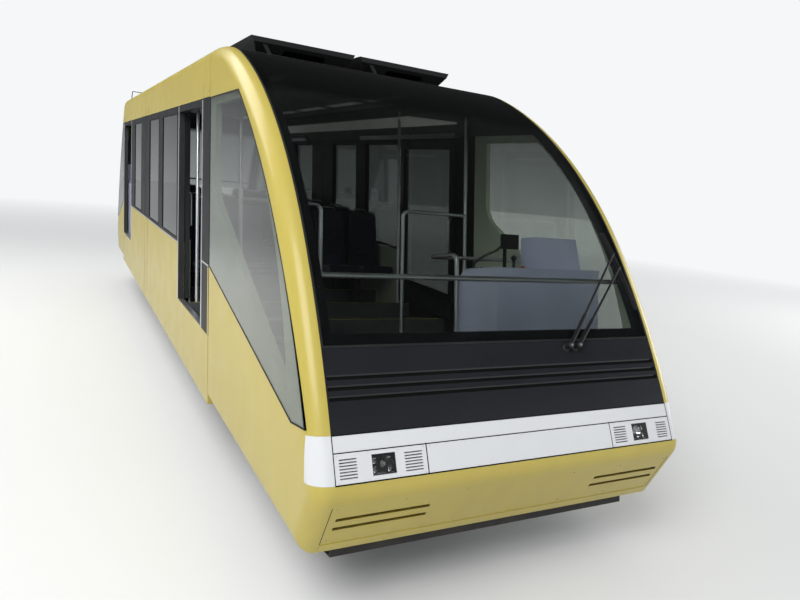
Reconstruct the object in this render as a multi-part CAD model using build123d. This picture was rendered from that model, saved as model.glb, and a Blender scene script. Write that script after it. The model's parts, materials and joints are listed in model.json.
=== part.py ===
from build123d import *
import math
import os

# A funicular railway car for a line of about one in five.
# The body stands upright on a sloping underframe: floor, sills, gutters and roof follow the
# track, while pillars, doors and both noses stay plumb.
# Millimetres. X runs across the car, Y uphill, Z up. The origin lies on the rail line, midway
# between the axles and midway between the rails. Lower means downhill, upper means uphill.
# Heights named ..._UP are measured straight up from the sloping rail line.

# Track and running gear
SLOPE_DEG = 11.06
GAUGE = 1067.0
WHEELBASE = 5600.0
WHEEL_RADIUS = 350.0
AXLE_RADIUS = 65.0
JOURNAL_RADIUS = 50.0
FLANGE_DEPTH = 28.0
FLANGE_WIDTH = 26.0
TREAD_WIDTH = 72.0
DRUM_WIDTH = 190.0
AXLE_BOX_SIZE = 210.0
RIM = 55.0
HUB_RADIUS = 110.0
RAIL_HEAD = 65.0
SPRING_RADIUS = 70.0
BRAKE_FOOT = 20.0
ROPE_PIN_RADIUS = 25.0

# Body envelope
HALF_WIDTH = 1350.0
HALF_LENGTH = 5560.0
WALL = 60.0
BULGE_UP = 886.0
SKIRT_SET_BACK = 270.0
SKIRT_DROP = 370.0
BULGE_ROUND = 150.0
CORNER_ROUND = 110.0
COVE_RADIUS = 300.0
COVE_START = 120.0
TOP_ROUND = 300.0
BOARDING_UP = 1050.0
SILL_UP = 1630.0
GUTTER_UP = 3030.0
HEADER_DROP = 60.0

# Nose profile: each arc turns from one lean angle to the next, measured from the vertical
NOSE_ARCS = [
    # radius, lean at its start, lean at its end
    (6000.0, 14.0, 27.5),
    (3800.0, 27.5, 60.0),
    (1700.0, 60.0, 90.0 - SLOPE_DEG),
]

# Lengths along the side, level distances from the lower end to the upper one
LOWER_NOSE = 2500.0
LOWER_POST = 330.0
DOOR_WIDTH = 1160.0
PILLARS = (110.0, 310.0, 890.0, 530.0)
FIRST_WINDOW_EXTRA = 160.0
MIDDLE_JOINT_IN_PILLAR = 440.0
UPPER_POST = 60.0
UPPER_NOSE = 1300.0
JOINT_GAP = 12.0
SEAL_FOOT_UP = 640.0
SEAM = 0.6
FIT = 0.3

# Glazing
GLASS = 12.0
PANE = 8.0
BAND_FRONT = 115.0
BAND_SIDE_FOOT = 75.0
BAND_SIDE_HEAD = 170.0
FRAME_BEHIND_GLASS = 70.0

# Clear part of a nose side window, lower nose first: rear margin, drop of its rear foot, corner
SIDE_LIGHT_REAR = (200.0, 60.0)
SIDE_LIGHT_DROP = (730.0, 1000.0)
SIDE_LIGHT_CORNER = (300.0, 120.0)
SIDE_LIGHT_FOOT = (455.0, 470.0)
SIDE_LIGHT_MARGIN = 50.0

# Levels on the nose, above its bulge
SKIRT_SLOTS = (-165.0, -225.0)
SKIRT_SLOT = 20.0
SKIRT_SLOT_LENGTH = 570.0
SKIRT_SLOT_MARGIN = 45.0
SKIRT_TOP = 55.0
LAMP_TOP = 295.0
RIB_FOOT = 460.0
RIB_HEAD = 620.0
GLASS_FOOT = 730.0
RIBS = 3
RIB_DEPTH = 16.0
RIB_MARGIN = 12.0
PANEL_LEVELS = (80.0, 186.0)
LOUVRES = 7
LAMP_WINDOW = (355.0, 215.0)
HATCH_FOOT = 205.0
HATCH_SIDE = 545.0
HATCH_SEAM = 8.0
HATCH_SEAM_DEPTH = 5.0
LOUVRE_PANELS = [
    # inner and outer edge, measured inward from the corner band
    (520.0, 410.0),
    (130.0, 30.0),
]

# Doors
LEAF_THICKNESS = 40.0
LEAF_GAP = 8.0
LEAF_LAP = 25.0
LEAF_CLEAR = 12.0
WINDOW_FOOT = 25.0
LEAF_STILE = 90.0
LEAF_RAIL = 260.0
ROLLER_HALF = 17.0
TRACK_ABOVE_LEAF = 27.0

# Roof hoods, two side by side over each windscreen
HOOD_HEIGHT = 170.0
HOOD_LENGTH = 1150.0
HOOD_LOWER_FRONT = 50.0
HOOD_UPPER_FRONT = 60.0
HOOD_APART = 50.0
HOOD_FROM_COVE = 50.0
HOOD_FLARE = 90.0
HOOD_LIP = 45.0
HOOD_UNDERCUT = 150.0
HOOD_SLOT = (300.0, 700.0)
HOOD_SLOT_LEVELS = (35.0, 95.0)
HOOD_SLOT_DEPTH = 320.0
HOOD_BRACE = (70.0, 210.0)
BRACE_WIDTH = 40.0

# Floor
TREAD_LENGTH = 793.0
DECK = 40.0
FLOOR_FROM_NOSE = 180.0
FIRST_NOSING = -5700.0
BRACKET = 60.0
BRACKET_END = 12.0

# Underframe
BEAM_OFFSET = 790.0
BEAM_FROM_NOSE = 660.0
BEAM_WIDTH = 90.0
BEAM_TOP_UP = 800.0
BEAM_FOOT_UP = 580.0
BEAM_WEB = 12.0
END_BEAM = 120.0
CROSS_WIDTH = 100.0
CROSS_DEPTH = 70.0
CROSS_FROM_AXLE = 650.0
CROSS_FROM_MIDDLE = 1000.0
CROSS_FROM_END = 550.0
OUTRIGGER_TIP = 40.0

ROPE_PIN_FROM_END = 140.0
ROPE_PIN_UP = 430.0
BUMPER_FROM_SIDE = 170.0
BUMPER_FROM_NOSE = 360.0
BUMPER_DEPTH = 110.0

# Wipers: distance in from the corner band and height above the bulge of the blade's ends
BLADE_FOOT = (45.0, 930.0)
BLADE_HEAD = (105.0, 1500.0)
BLADE_DEPTH = 28.0
PIVOT_UP = 690.0
ARM_ROOT = 0.3
WIPER_ARMS = [
    # pivot's half-car place, height at which the arm meets the blade
    (460.0, 1330.0),
    (535.0, 1230.0),
]

# Seats
SEAT_SETBACK = 130.0
SEAT_INTO_DOORWAY = 40.0
SEAT_FROM_WALL = 120.0
SEATS_APART = 10.0
SEAT_WIDTH = 430.0
SEAT_DEPTH = 430.0
SEAT_PAD = 80.0
SEAT_UP = 440.0
BACK_PAD = 75.0
BACK_RAKE = 90.0
BACK_HEIGHT = 720.0
SEAT_POST = (700.0, 760.0)
SEAT_POST_DEPTHS = (150.0, 330.0)
SEAT_SHOE = 40.0
BACK_CORNER = 70.0

# Cabin fittings
CEILING = 20.0
CEILING_FROM_COVE = 70.0
CEILING_LOWER_START = 60.0
CEILING_UPPER_STOP = 210.0
LINING = 12.0
LINING_BEHIND_LEAF = 8.0
LINING_HEAD = 30.0
HANDRAIL = 17.0
BAR_DEPTH = 500.0
BAR_HEIGHT = 1128.0
LOWER_POLE = (70.0, 115.0)
UPPER_POLE = (50.0, 160.0)
POLE_GAP = 4.0
HOOP_FROM_JOINT = 110.0
HOOP_POLE_FROM_WALL = 180.0
HOOP_LEG = 410.0
HOOP_BEND = 60.0
HOOP_HEIGHT = 1200.0
CONSOLE_FRONT = 760.0
CONSOLE_DEPTH = 540.0
CONSOLE_FROM_WALL = 12.0
CONSOLE_WIDTH = 978.0
CONSOLE_HEIGHT = 930.0
CONSOLE_STEP = 120.0
BINNACLE_WIDTH = 450.0
BINNACLE_SET_BACK = 200.0
BINNACLE_DEPTH = 200.0
BINNACLE_HEIGHT = 260.0
GATE_LEG_GAP = 32.0
GATE_DEPTH = 400.0
GATE_HEIGHT = 1040.0
GATE_STAND_OFF = 35.0
GATE_FROM_LEAF = 62.0
MONITOR = (150.0, 30.0, 110.0)
MONITOR_RISE = 150.0
MONITOR_FROM_EDGE = 260.0
STALK = 14.0

SLOPE = math.radians(SLOPE_DEG)
TAN = math.tan(SLOPE)
ALONG = (0.0, math.cos(SLOPE), math.sin(SLOPE))
INSIDE = HALF_WIDTH - WALL
FLOOR_REACH = HALF_LENGTH - FLOOR_FROM_NOSE
BEAM_REACH = HALF_LENGTH - BEAM_FROM_NOSE
CROWN_UP = GUTTER_UP + COVE_START + COVE_RADIUS

# Stations along the car, level distances from the origin; the windows take what the pillars leave
LOWER_JOINT = LOWER_NOSE - HALF_LENGTH
UPPER_JOINT = HALF_LENGTH - UPPER_NOSE
LOWER_DOOR = (LOWER_JOINT + LOWER_POST, LOWER_JOINT + LOWER_POST + DOOR_WIDTH)
UPPER_DOOR = (UPPER_JOINT - UPPER_POST - DOOR_WIDTH, UPPER_JOINT - UPPER_POST)
WINDOW_WIDTH = (UPPER_DOOR[0] - LOWER_DOOR[1] - sum(PILLARS) - FIRST_WINDOW_EXTRA) / 3
SIDE_WINDOWS = []
window_start = LOWER_DOOR[1] + PILLARS[0]
for extra, pillar in zip((FIRST_WINDOW_EXTRA, 0.0, 0.0), PILLARS[1:]):
    SIDE_WINDOWS.append((window_start, window_start + WINDOW_WIDTH + extra))
    window_start = SIDE_WINDOWS[-1][1] + pillar
MIDDLE_JOINT = SIDE_WINDOWS[1][1] + MIDDLE_JOINT_IN_PILLAR

# Cutting blocks pass this far outside the skin, into the nose and beyond the whole car
OUT = 300.0
DEEP = 2600.0
FAR = 9000.0


def rail(y):
    """Height of the rail line at station y."""
    return y * TAN


def lean(angle):
    """Sine and cosine of a lean angle in degrees."""
    return math.sin(math.radians(angle)), math.cos(math.radians(angle))


def across(face, x0, x1):
    """A face drawn in the side view, extruded across the car from x0 to x1."""
    return extrude(face.moved(Location((x0, 0, 0))), amount=x1 - x0, dir=(1, 0, 0))


def side_face(points):
    """A polygon in the side view from (y, z) points."""
    return make_face(Polyline(*[(0, y, z) for y, z in points], close=True))


def level_box(x0, x1, y0, y1, z0, z1):
    """A plain box between two corners."""
    return Pos((x0 + x1) / 2, (y0 + y1) / 2, (z0 + z1) / 2) * Box(x1 - x0, y1 - y0, z1 - z0)


def slant_box(x0, x1, y0, y1, up0, up1):
    """A block with plumb ends whose top and underside follow the track."""
    points = [(y0, rail(y0) + up0), (y1, rail(y1) + up0), (y1, rail(y1) + up1), (y0, rail(y0) + up1)]
    return across(side_face(points), x0, x1)


def along_track(points, y0, y1):
    """A cross-section from (x, up) points, run along the track from y0 to y1."""
    outline = Polyline(*[(x, y0, rail(y0) + up) for x, up in points], close=True)
    return extrude(make_face(outline), amount=(y1 - y0) / math.cos(SLOPE), dir=ALONG)


def both_sides(solid):
    """A solid and its mirror image across the car's middle."""
    return [solid, mirror(solid, about=Plane.YZ)]


# Nose geometry in its own frame: depth inward from the bulge, height above the bulge


def nose_point(angle, inset):
    """Point on the nose profile where it leans by angle, set inward by inset."""
    depth, height = 0.0, 0.0
    for radius, start, end in NOSE_ARCS:
        turn = min(max(angle, start), end)
        s0, c0 = lean(start)
        s1, c1 = lean(turn)
        depth += radius * (c0 - c1)
        height += radius * (s1 - s0)
        if angle <= end:
            break
    s, c = lean(angle)
    return depth + inset * c, height - inset * s


def nose_place(end, depth, height):
    """Side-view point of a nose point; end is -1 for the lower nose and 1 for the upper."""
    y = end * (HALF_LENGTH - depth)
    return (0, y, rail(end * HALF_LENGTH) + BULGE_UP + height)


def roof_line(y, inset):
    """Height of the crown at station y, set in by inset."""
    return rail(y) + CROWN_UP - inset / math.cos(SLOPE)


def upper_break(inset):
    """Lean at which the upper nose meets the roof line."""
    low, high = 30.0, NOSE_ARCS[-1][2]
    for _ in range(50):
        middle = (low + high) / 2
        _, y, z = nose_place(1, *nose_point(middle, inset))
        if z < roof_line(y, inset):
            low = middle
        else:
            high = middle
    return low


def nose_edges(end, inset, top, foot):
    """Profile edges from the skirt's foot up to the lean angle top."""
    s0, c0 = lean(NOSE_ARCS[0][1])
    reach = math.hypot(SKIRT_SET_BACK, SKIRT_DROP)
    along = (SKIRT_SET_BACK / reach, -SKIRT_DROP / reach)
    bend = math.acos(c0 * (-along[1]) - s0 * along[0])
    slide = inset * math.tan(bend / 2)
    corner = (inset * c0 + slide * s0, -inset * s0 + slide * c0)
    toe = (corner[0] + along[0] * foot, corner[1] + along[1] * foot)
    edges = [Line(nose_place(end, *toe), nose_place(end, *corner))]
    start = corner
    first = NOSE_ARCS[0][1] + math.degrees(slide / (NOSE_ARCS[0][0] - inset))
    for radius, low, high in NOSE_ARCS:
        a0 = max(low, first)
        a1 = min(high, top)
        if a1 <= a0:
            break
        middle = nose_point((a0 + a1) / 2, inset)
        finish = nose_point(a1, inset)
        edges.append(ThreePointArc(nose_place(end, *start), nose_place(end, *middle),
                                   nose_place(end, *finish)))
        start = finish
    return edges


def car_profile(inset, foot):
    """Side view of the whole car set inward by inset, its skirts run on by foot."""
    reach = math.hypot(SKIRT_SET_BACK, SKIRT_DROP) + foot
    lower = nose_edges(-1, inset, NOSE_ARCS[-1][2], reach)
    upper = nose_edges(1, inset, upper_break(inset), reach)
    edges = lower + upper
    edges.append(Line(lower[-1] @ 1, upper[-1] @ 1))
    edges.append(Line(lower[0] @ 0, upper[0] @ 0))
    face = make_face(edges)
    bulge = max(BULGE_ROUND - inset, 20.0)
    crest = max(TOP_ROUND - inset, 20.0)
    for target, radius in ((lower[0] @ 1, bulge), (upper[0] @ 1, bulge), (upper[-1] @ 1, crest)):
        corner = face.vertices().sort_by_distance(target)[0]
        face = fillet(corner, radius)
    return face


def body_section(inset):
    """Cross-section of the body run along the whole car, set inward by inset."""
    half = HALF_WIDTH - inset
    radius = COVE_RADIUS - inset
    y0 = -HALF_LENGTH - 400
    base = rail(y0)
    foot = base - 600
    spring = base + GUTTER_UP + COVE_START
    top = spring + radius
    bow = radius * (1 - math.sqrt(0.5))
    right = [
        Line((half, y0, foot), (half, y0, spring)),
        ThreePointArc((half, y0, spring), (half - bow, y0, top - bow), (half - radius, y0, top)),
    ]
    left = [
        Line((-half, y0, foot), (-half, y0, spring)),
        ThreePointArc((-half, y0, spring), (-half + bow, y0, top - bow), (-half + radius, y0, top)),
    ]
    rest = [
        Line((half - radius, y0, top), (-half + radius, y0, top)),
        Line((half, y0, foot), (-half, y0, foot)),
    ]
    face = make_face(right + left + rest)
    return extrude(face, amount=-2 * y0 / math.cos(SLOPE), dir=ALONG)


def car_volume(inset, foot, corner):
    """The body's volume set inward by inset, with its nose corners rounded by corner."""
    face = car_profile(inset, foot)
    half = HALF_WIDTH - inset
    block = across(face, -half, half)
    if corner > 0:
        edges = block.edges().filter_by(lambda e: abs(abs(e.center().X) - half) < 1)
        low = [e for e in edges if e.center().Z > rail(e.center().Y) + BULGE_UP - 500]
        block = fillet(low, corner)
    return block & body_section(inset)


os.makedirs("parts", exist_ok=True)


def save(name, solids):
    """Write one node; several solids that don't touch may share it."""
    found = []
    for item in solids if isinstance(solids, (list, tuple)) else [solids]:
        found += list(item.solids())
    export_step(found[0] if len(found) == 1 else Compound(children=found), f"parts/{name}.step")


outer = car_volume(0.0, 0.0, CORNER_ROUND)
under_glass = car_volume(GLASS, 200.0, CORNER_ROUND - GLASS)
behind_glass = car_volume(GLASS + FIT, 200.0, CORNER_ROUND - GLASS)
inner = car_volume(WALL, 300.0, 0.0)
shell = outer - inner
glass_skin = outer - under_glass
frame_skin = behind_glass - inner

# The band's inner edge stands at this half width; front panels lie between the two bands
FRONT_HALF = HALF_WIDTH - BAND_FRONT
WIDE = HALF_WIDTH + OUT


def nose_face(end, points):
    """A polygon in the side view from (depth, height) points of one nose."""
    placed = [nose_place(end, depth, height) for depth, height in points]
    return make_face(Polyline(*placed, close=True))


def nose_cut(end, points, x0, x1):
    """A block across the car over a polygon of one nose."""
    return across(nose_face(end, points), x0, x1)


def level_cut(end, low, high, reach, half):
    """A block across the nose between two heights above the bulge, from outside it to a depth."""
    return nose_cut(end, [(-OUT, low), (reach, low), (reach, high), (-OUT, high)], -half, half)


def front_hole(end, side, near, far_edge, low, high):
    """A block through the nose skin between two places measured inward from a corner band."""
    x0, x1 = sorted((side * (FRONT_HALF - near), side * (FRONT_HALF - far_edge)))
    return nose_cut(end, [(-OUT, low), (OUT, low), (OUT, high), (-OUT, high)], x0, x1)


def glass_top(end):
    """Lean angle at which a windscreen stops."""
    return 66.0 if end < 0 else upper_break(0.0) - 4.0


def top_cut(end, angle, reach):
    """Two points on the line that crosses the skin squarely at a lean angle."""
    s, c = lean(angle)
    depth, height = nose_point(angle, 0.0)
    return (depth - 120 * c, height + 120 * s), (depth + reach * c, height - reach * s)


def joint_face(end):
    """Station at which the nose's mouldings stop, half a joint gap short of the joint."""
    return (LOWER_JOINT if end < 0 else UPPER_JOINT) + end * JOINT_GAP / 2


def band_meet(end, up, width):
    """Station at which a line parallel to the track comes within width of the nose profile."""
    low, high = NOSE_ARCS[0][1], NOSE_ARCS[-1][2]
    for _ in range(50):
        middle = (low + high) / 2
        depth, height = nose_point(middle, 0.0)
        _, y, z = nose_place(end, depth, height)
        if z < rail(y - end * width) + up:
            low = middle
        else:
            high = middle
    return y - end * width


def side_opening(end, inset):
    """Outline of a nose side window in the side view, set in by inset."""
    joint = joint_face(end)
    foot_depth = nose_point(17.0, 72.0)[0]
    foot = nose_place(end, foot_depth, LAMP_TOP + 24)
    heel = nose_place(end, 375.0, LAMP_TOP + 24)
    middle = nose_place(end, *nose_point(30.0, 118.0))
    rear_top = (0, joint, rail(joint) + GUTTER_UP)
    rear_foot = (0, joint, rail(joint) + SILL_UP)
    meet_y = band_meet(end, GUTTER_UP, BAND_SIDE_HEAD)
    meet = (0, meet_y, rail(meet_y) + GUTTER_UP)
    edges = [
        ThreePointArc(foot, middle, meet),
        Line(meet, rear_top),
        Line(rear_top, rear_foot),
        Line(rear_foot, heel),
        Line(heel, foot),
    ]
    face = make_face(edges)
    if inset > 0:
        face = offset(face, -inset, kind=Kind.INTERSECTION)
    return face


def side_light(end):
    """Outline of the clear part of a nose side window in the side view."""
    which = 0 if end < 0 else 1
    rear = joint_face(end) + end * SIDE_LIGHT_REAR[which]
    top = GUTTER_UP - FRAME_BEHIND_GLASS
    front_y = band_meet(end, top, BAND_SIDE_HEAD + SIDE_LIGHT_MARGIN)
    rear_foot = rail(rear) + top - SIDE_LIGHT_DROP[which]
    foot = nose_place(end, *SIDE_LIGHT_FOOT)
    middle = nose_place(end, *nose_point(31.5, 175.0))
    front = (0, front_y, rail(front_y) + top)
    edges = [
        ThreePointArc(foot, middle, front),
        Line(front, (0, rear, rail(rear) + top)),
        Line((0, rear, rail(rear) + top), (0, rear, rear_foot)),
        Line((0, rear, rear_foot), foot),
    ]
    face = make_face(edges)
    corner = face.vertices().sort_by_distance((0, rear, rear_foot))[0]
    return fillet(corner, SIDE_LIGHT_CORNER[which])


def nose_lean(height):
    """Lean angle of the nose profile at a height above the bulge."""
    low, high = NOSE_ARCS[0][1], NOSE_ARCS[-1][2]
    for _ in range(50):
        middle = (low + high) / 2
        if nose_point(middle, 0.0)[1] < height:
            low = middle
        else:
            high = middle
    return low


def nose_spot(end, x, height, proud):
    """Point that stands proud of the nose skin at half-car place x and a height."""
    angle = nose_lean(height)
    s, c = lean(angle)
    depth, level = nose_point(angle, 0.0)
    _, y, z = nose_place(end, depth - proud * c, level + proud * s)
    return (x, y, z)


def skirt_foot(y):
    """Height of the skirt's lower edge at station y."""
    reach = HALF_LENGTH - SKIRT_SET_BACK
    low = rail(-HALF_LENGTH) + BULGE_UP - SKIRT_DROP
    high = rail(HALF_LENGTH) + BULGE_UP - SKIRT_DROP
    return low + (high - low) * (y + reach) / (2 * reach)


def tube(points, radius, bend=0.0):
    """A round bar through points, with bends of one radius where it has corners."""
    path = FilletPolyline(*points, radius=bend) if len(points) > 2 else Line(*points)
    ring = Plane(origin=path @ 0, z_dir=path % 0) * Circle(radius)
    return sweep(ring, path=path)


# Nose pieces, lower and upper

for end, name in ((-1, "lower"), (1, "upper")):
    face_at_joint = joint_face(end)
    top = glass_top(end)
    over, under = top_cut(end, top, 400)

    # Windscreen between the bands, from the apron to the roof
    screen_area = [(-OUT, GLASS_FOOT + SEAM), (DEEP, GLASS_FOOT + SEAM), under, over, (-OUT, over[1])]
    screen_zone = nose_cut(end, screen_area, -FRONT_HALF + SEAM, FRONT_HALF - SEAM)
    save(f"windscreen_{name}", glass_skin & screen_zone)

    # Black frame that carries the windscreen behind its edges
    frame_area = [(-OUT, GLASS_FOOT), (DEEP, GLASS_FOOT), under, over, (-OUT, over[1])]
    frame_zone = nose_cut(end, frame_area, -FRONT_HALF, FRONT_HALF)
    hole_over, hole_under = top_cut(end, top - 1.6, 400)
    hole_foot = GLASS_FOOT + FRAME_BEHIND_GLASS
    hole_area = [(-OUT, hole_foot), (DEEP, hole_foot), hole_under, hole_over, (-OUT, hole_over[1])]
    hole_half = FRONT_HALF - FRAME_BEHIND_GLASS
    hole_zone = nose_cut(end, hole_area, -hole_half, hole_half)
    save(f"windscreen_frame_{name}", (frame_skin & frame_zone) - hole_zone)

    # Ribbed black apron under the windscreen
    apron = shell & level_cut(end, LAMP_TOP + SEAM, GLASS_FOOT, DEEP, FRONT_HALF)
    pitch = (RIB_HEAD - RIB_FOOT) / RIBS
    for i in range(RIBS):
        low = RIB_FOOT + i * pitch
        depth = nose_point(nose_lean(low + pitch / 4), 0.0)[0] + RIB_DEPTH
        apron -= level_cut(end, low, low + pitch / 2, depth, FRONT_HALF - RIB_MARGIN)
    save(f"nose_apron_{name}", apron)

    # White lamp band that wraps round both corners
    band_depth = nose_point(nose_lean(LAMP_TOP), 0.0)[0] + BAND_SIDE_FOOT
    band = shell & level_cut(end, SKIRT_TOP, LAMP_TOP, band_depth, WIDE)
    pitch = (PANEL_LEVELS[1] - PANEL_LEVELS[0]) / LOUVRES
    for side in (-1, 1):
        for near, far_edge in LOUVRE_PANELS:
            for i in range(LOUVRES):
                low = PANEL_LEVELS[0] + i * pitch
                band -= front_hole(end, side, near, far_edge, low, low + pitch / 2)
        band -= front_hole(end, side, *LAMP_WINDOW, *PANEL_LEVELS)
    # Sunk seams round the access hatches above and beside the lamps
    seam_at = nose_point(nose_lean(HATCH_FOOT), 0.0)[0] + HATCH_SEAM_DEPTH
    band -= level_cut(end, HATCH_FOOT, HATCH_FOOT + HATCH_SEAM, seam_at, FRONT_HALF)
    low_depth = nose_point(nose_lean(SKIRT_TOP), 0.0)[0] + HATCH_SEAM_DEPTH
    high_depth = nose_point(nose_lean(LAMP_TOP), 0.0)[0] + HATCH_SEAM_DEPTH
    strip = [(-OUT, -OUT), (low_depth, SKIRT_TOP), (high_depth, LAMP_TOP), (-OUT, LAMP_TOP + OUT)]
    for side in (-1, 1):
        x0, x1 = sorted((side * (FRONT_HALF - HATCH_SIDE), side * (FRONT_HALF - HATCH_SIDE - HATCH_SEAM)))
        band -= nose_cut(end, strip, x0, x1)
    save(f"lamp_band_{name}", band)

    # Yellow front skirt with two cooling slots near each side
    skirt = shell & level_cut(end, -DEEP, SKIRT_TOP - SEAM, DEEP, FRONT_HALF)
    for side in (-1, 1):
        for low in SKIRT_SLOTS:
            inner_edge = SKIRT_SLOT_MARGIN + SKIRT_SLOT_LENGTH
            skirt -= front_hole(end, side, inner_edge, SKIRT_SLOT_MARGIN, low, low + SKIRT_SLOT)
    save(f"nose_skirt_{name}", skirt)

    # Yellow side mouldings: corner band, roof edge and lower flank in one piece round the side window
    opening = side_opening(end, 0.0)
    y0, y1 = sorted((face_at_joint, end * (HALF_LENGTH + OUT)))
    sides = []
    for side in (-1, 1):
        x0, x1 = sorted((side * FRONT_HALF, side * WIDE))
        piece = shell & level_box(x0, x1, y0, y1, -FAR, FAR)
        piece -= across(opening, x0, x1)
        piece -= level_cut(end, SKIRT_TOP - SEAM, LAMP_TOP + SEAM, band_depth, WIDE + 1)
        sides += list(piece.solids())
    save(f"nose_sides_{name}", sides)

    # Side windows of the nose and the pale frames that show through them
    pane_face = side_opening(end, SEAM)
    frame_face = side_opening(end, FIT)
    hole_face = side_light(end)
    panes, frames = [], []
    for side in (-1, 1):
        x0, x1 = sorted((side * (HALF_WIDTH - GLASS), side * HALF_WIDTH))
        panes.append(across(pane_face, x0, x1))
        x0, x1 = sorted((side * INSIDE, side * (HALF_WIDTH - GLASS - FIT)))
        frames.append(across(frame_face, x0, x1) - across(hole_face, x0 - 1, x1 + 1))
    save(f"nose_side_glass_{name}", panes)
    save(f"nose_side_frames_{name}", frames)

# Side walls between the noses: black window frames above the sill, yellow panels below it

START = LOWER_JOINT + JOINT_GAP / 2
FINISH = UPPER_JOINT - JOINT_GAP / 2
DOORS = {"lower": LOWER_DOOR, "upper": UPPER_DOOR}
HEADER_UP = GUTTER_UP - HEADER_DROP


def wall_plate(y0, y1, up0, up1, side):
    """A stretch of side wall, full wall thickness, between two heights above the rail line."""
    x0, x1 = sorted((side * INSIDE, side * HALF_WIDTH))
    return slant_box(x0, x1, y0, y1, up0, up1)


def skirt_plate(y0, y1, up, side):
    """A stretch of side wall from the skirt's foot to a height above the rail line."""
    x0, x1 = sorted((side * INSIDE, side * HALF_WIDTH))
    points = [(y0, skirt_foot(y0)), (y1, skirt_foot(y1)), (y1, rail(y1) + up), (y0, rail(y0) + up)]
    return across(side_face(points), x0, x1)


seam_low, seam_high = MIDDLE_JOINT - JOINT_GAP / 2, MIDDLE_JOINT + JOINT_GAP / 2
for side, name in ((-1, "left"), (1, "right")):
    frame = wall_plate(START, FINISH, SILL_UP, GUTTER_UP, side)
    for y0, y1 in SIDE_WINDOWS:
        frame -= wall_plate(y0, y1, SILL_UP + WINDOW_FOOT, HEADER_UP, side)
    for y0, y1 in DOORS.values():
        frame -= wall_plate(y0, y1, SILL_UP - 1, HEADER_UP, side)
    frame += wall_plate(START, LOWER_DOOR[0], BOARDING_UP, SILL_UP, side)
    frame += wall_plate(UPPER_DOOR[1], FINISH, BOARDING_UP, SILL_UP, side)
    frame -= slant_box(-WIDE, WIDE, seam_low, seam_high, BOARDING_UP, GUTTER_UP + 10)
    save(f"side_frame_{name}", frame)

    waist = skirt_plate(START, FINISH, BOARDING_UP, side)
    waist += wall_plate(LOWER_DOOR[1], UPPER_DOOR[0], BOARDING_UP - 1, SILL_UP, side)
    waist -= slant_box(-WIDE, WIDE, seam_low, seam_high, -500, SILL_UP + 10)
    save(f"waist_panels_{name}", waist)

    x0, x1 = sorted((side * (HALF_WIDTH - 6 - PANE), side * (HALF_WIDTH - 6)))
    panes = []
    for y0, y1 in SIDE_WINDOWS:
        panes.append(slant_box(x0, x1, y0 + FIT, y1 - FIT, SILL_UP + WINDOW_FOOT + FIT, HEADER_UP - FIT))
    save(f"window_glass_{name}", panes)

# Roof: yellow edges over each side and a dark crown between them
edge_band = shell & level_box(FRONT_HALF, WIDE, START, FINISH, -FAR, FAR)
edge_band &= slant_box(FRONT_HALF, WIDE, START, FINISH, GUTTER_UP, CROWN_UP + 50)
edge_band -= slant_box(0, WIDE, seam_low, seam_high, 0, CROWN_UP + 50)
save("roof_edges", both_sides(edge_band))

crown = shell & slant_box(-FRONT_HALF, FRONT_HALF, START, FINISH, GUTTER_UP, CROWN_UP + 50)
crown -= slant_box(-WIDE, WIDE, seam_low, seam_high, 0, CROWN_UP + 50)
save("roof_crown", crown)

brows = []
for end in (-1, 1):
    over, under = top_cut(end, glass_top(end), 400)
    rear = HALF_LENGTH - end * joint_face(end)
    roof_zone = [over, under, (rear, under[1] - 400), (rear, over[1] + 900), (over[0], over[1] + 900)]
    brows.append(shell & nose_cut(end, roof_zone, -FRONT_HALF, FRONT_HALF))
save("nose_brows", brows)

# Black seals that fill the gaps between the body's modules
seals = []
skin = car_volume(5.0, 200.0, 0.0) - car_volume(WALL - 5.0, 300.0, 0.0)
for joint in (LOWER_JOINT, MIDDLE_JOINT, UPPER_JOINT):
    ring = skin & level_box(-WIDE, WIDE, joint - JOINT_GAP / 2, joint + JOINT_GAP / 2, -FAR, FAR)
    seals.append(ring & slant_box(-WIDE, WIDE, joint - JOINT_GAP, joint + JOINT_GAP, SEAL_FOOT_UP, FAR))
save("joint_seals", seals)

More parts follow.
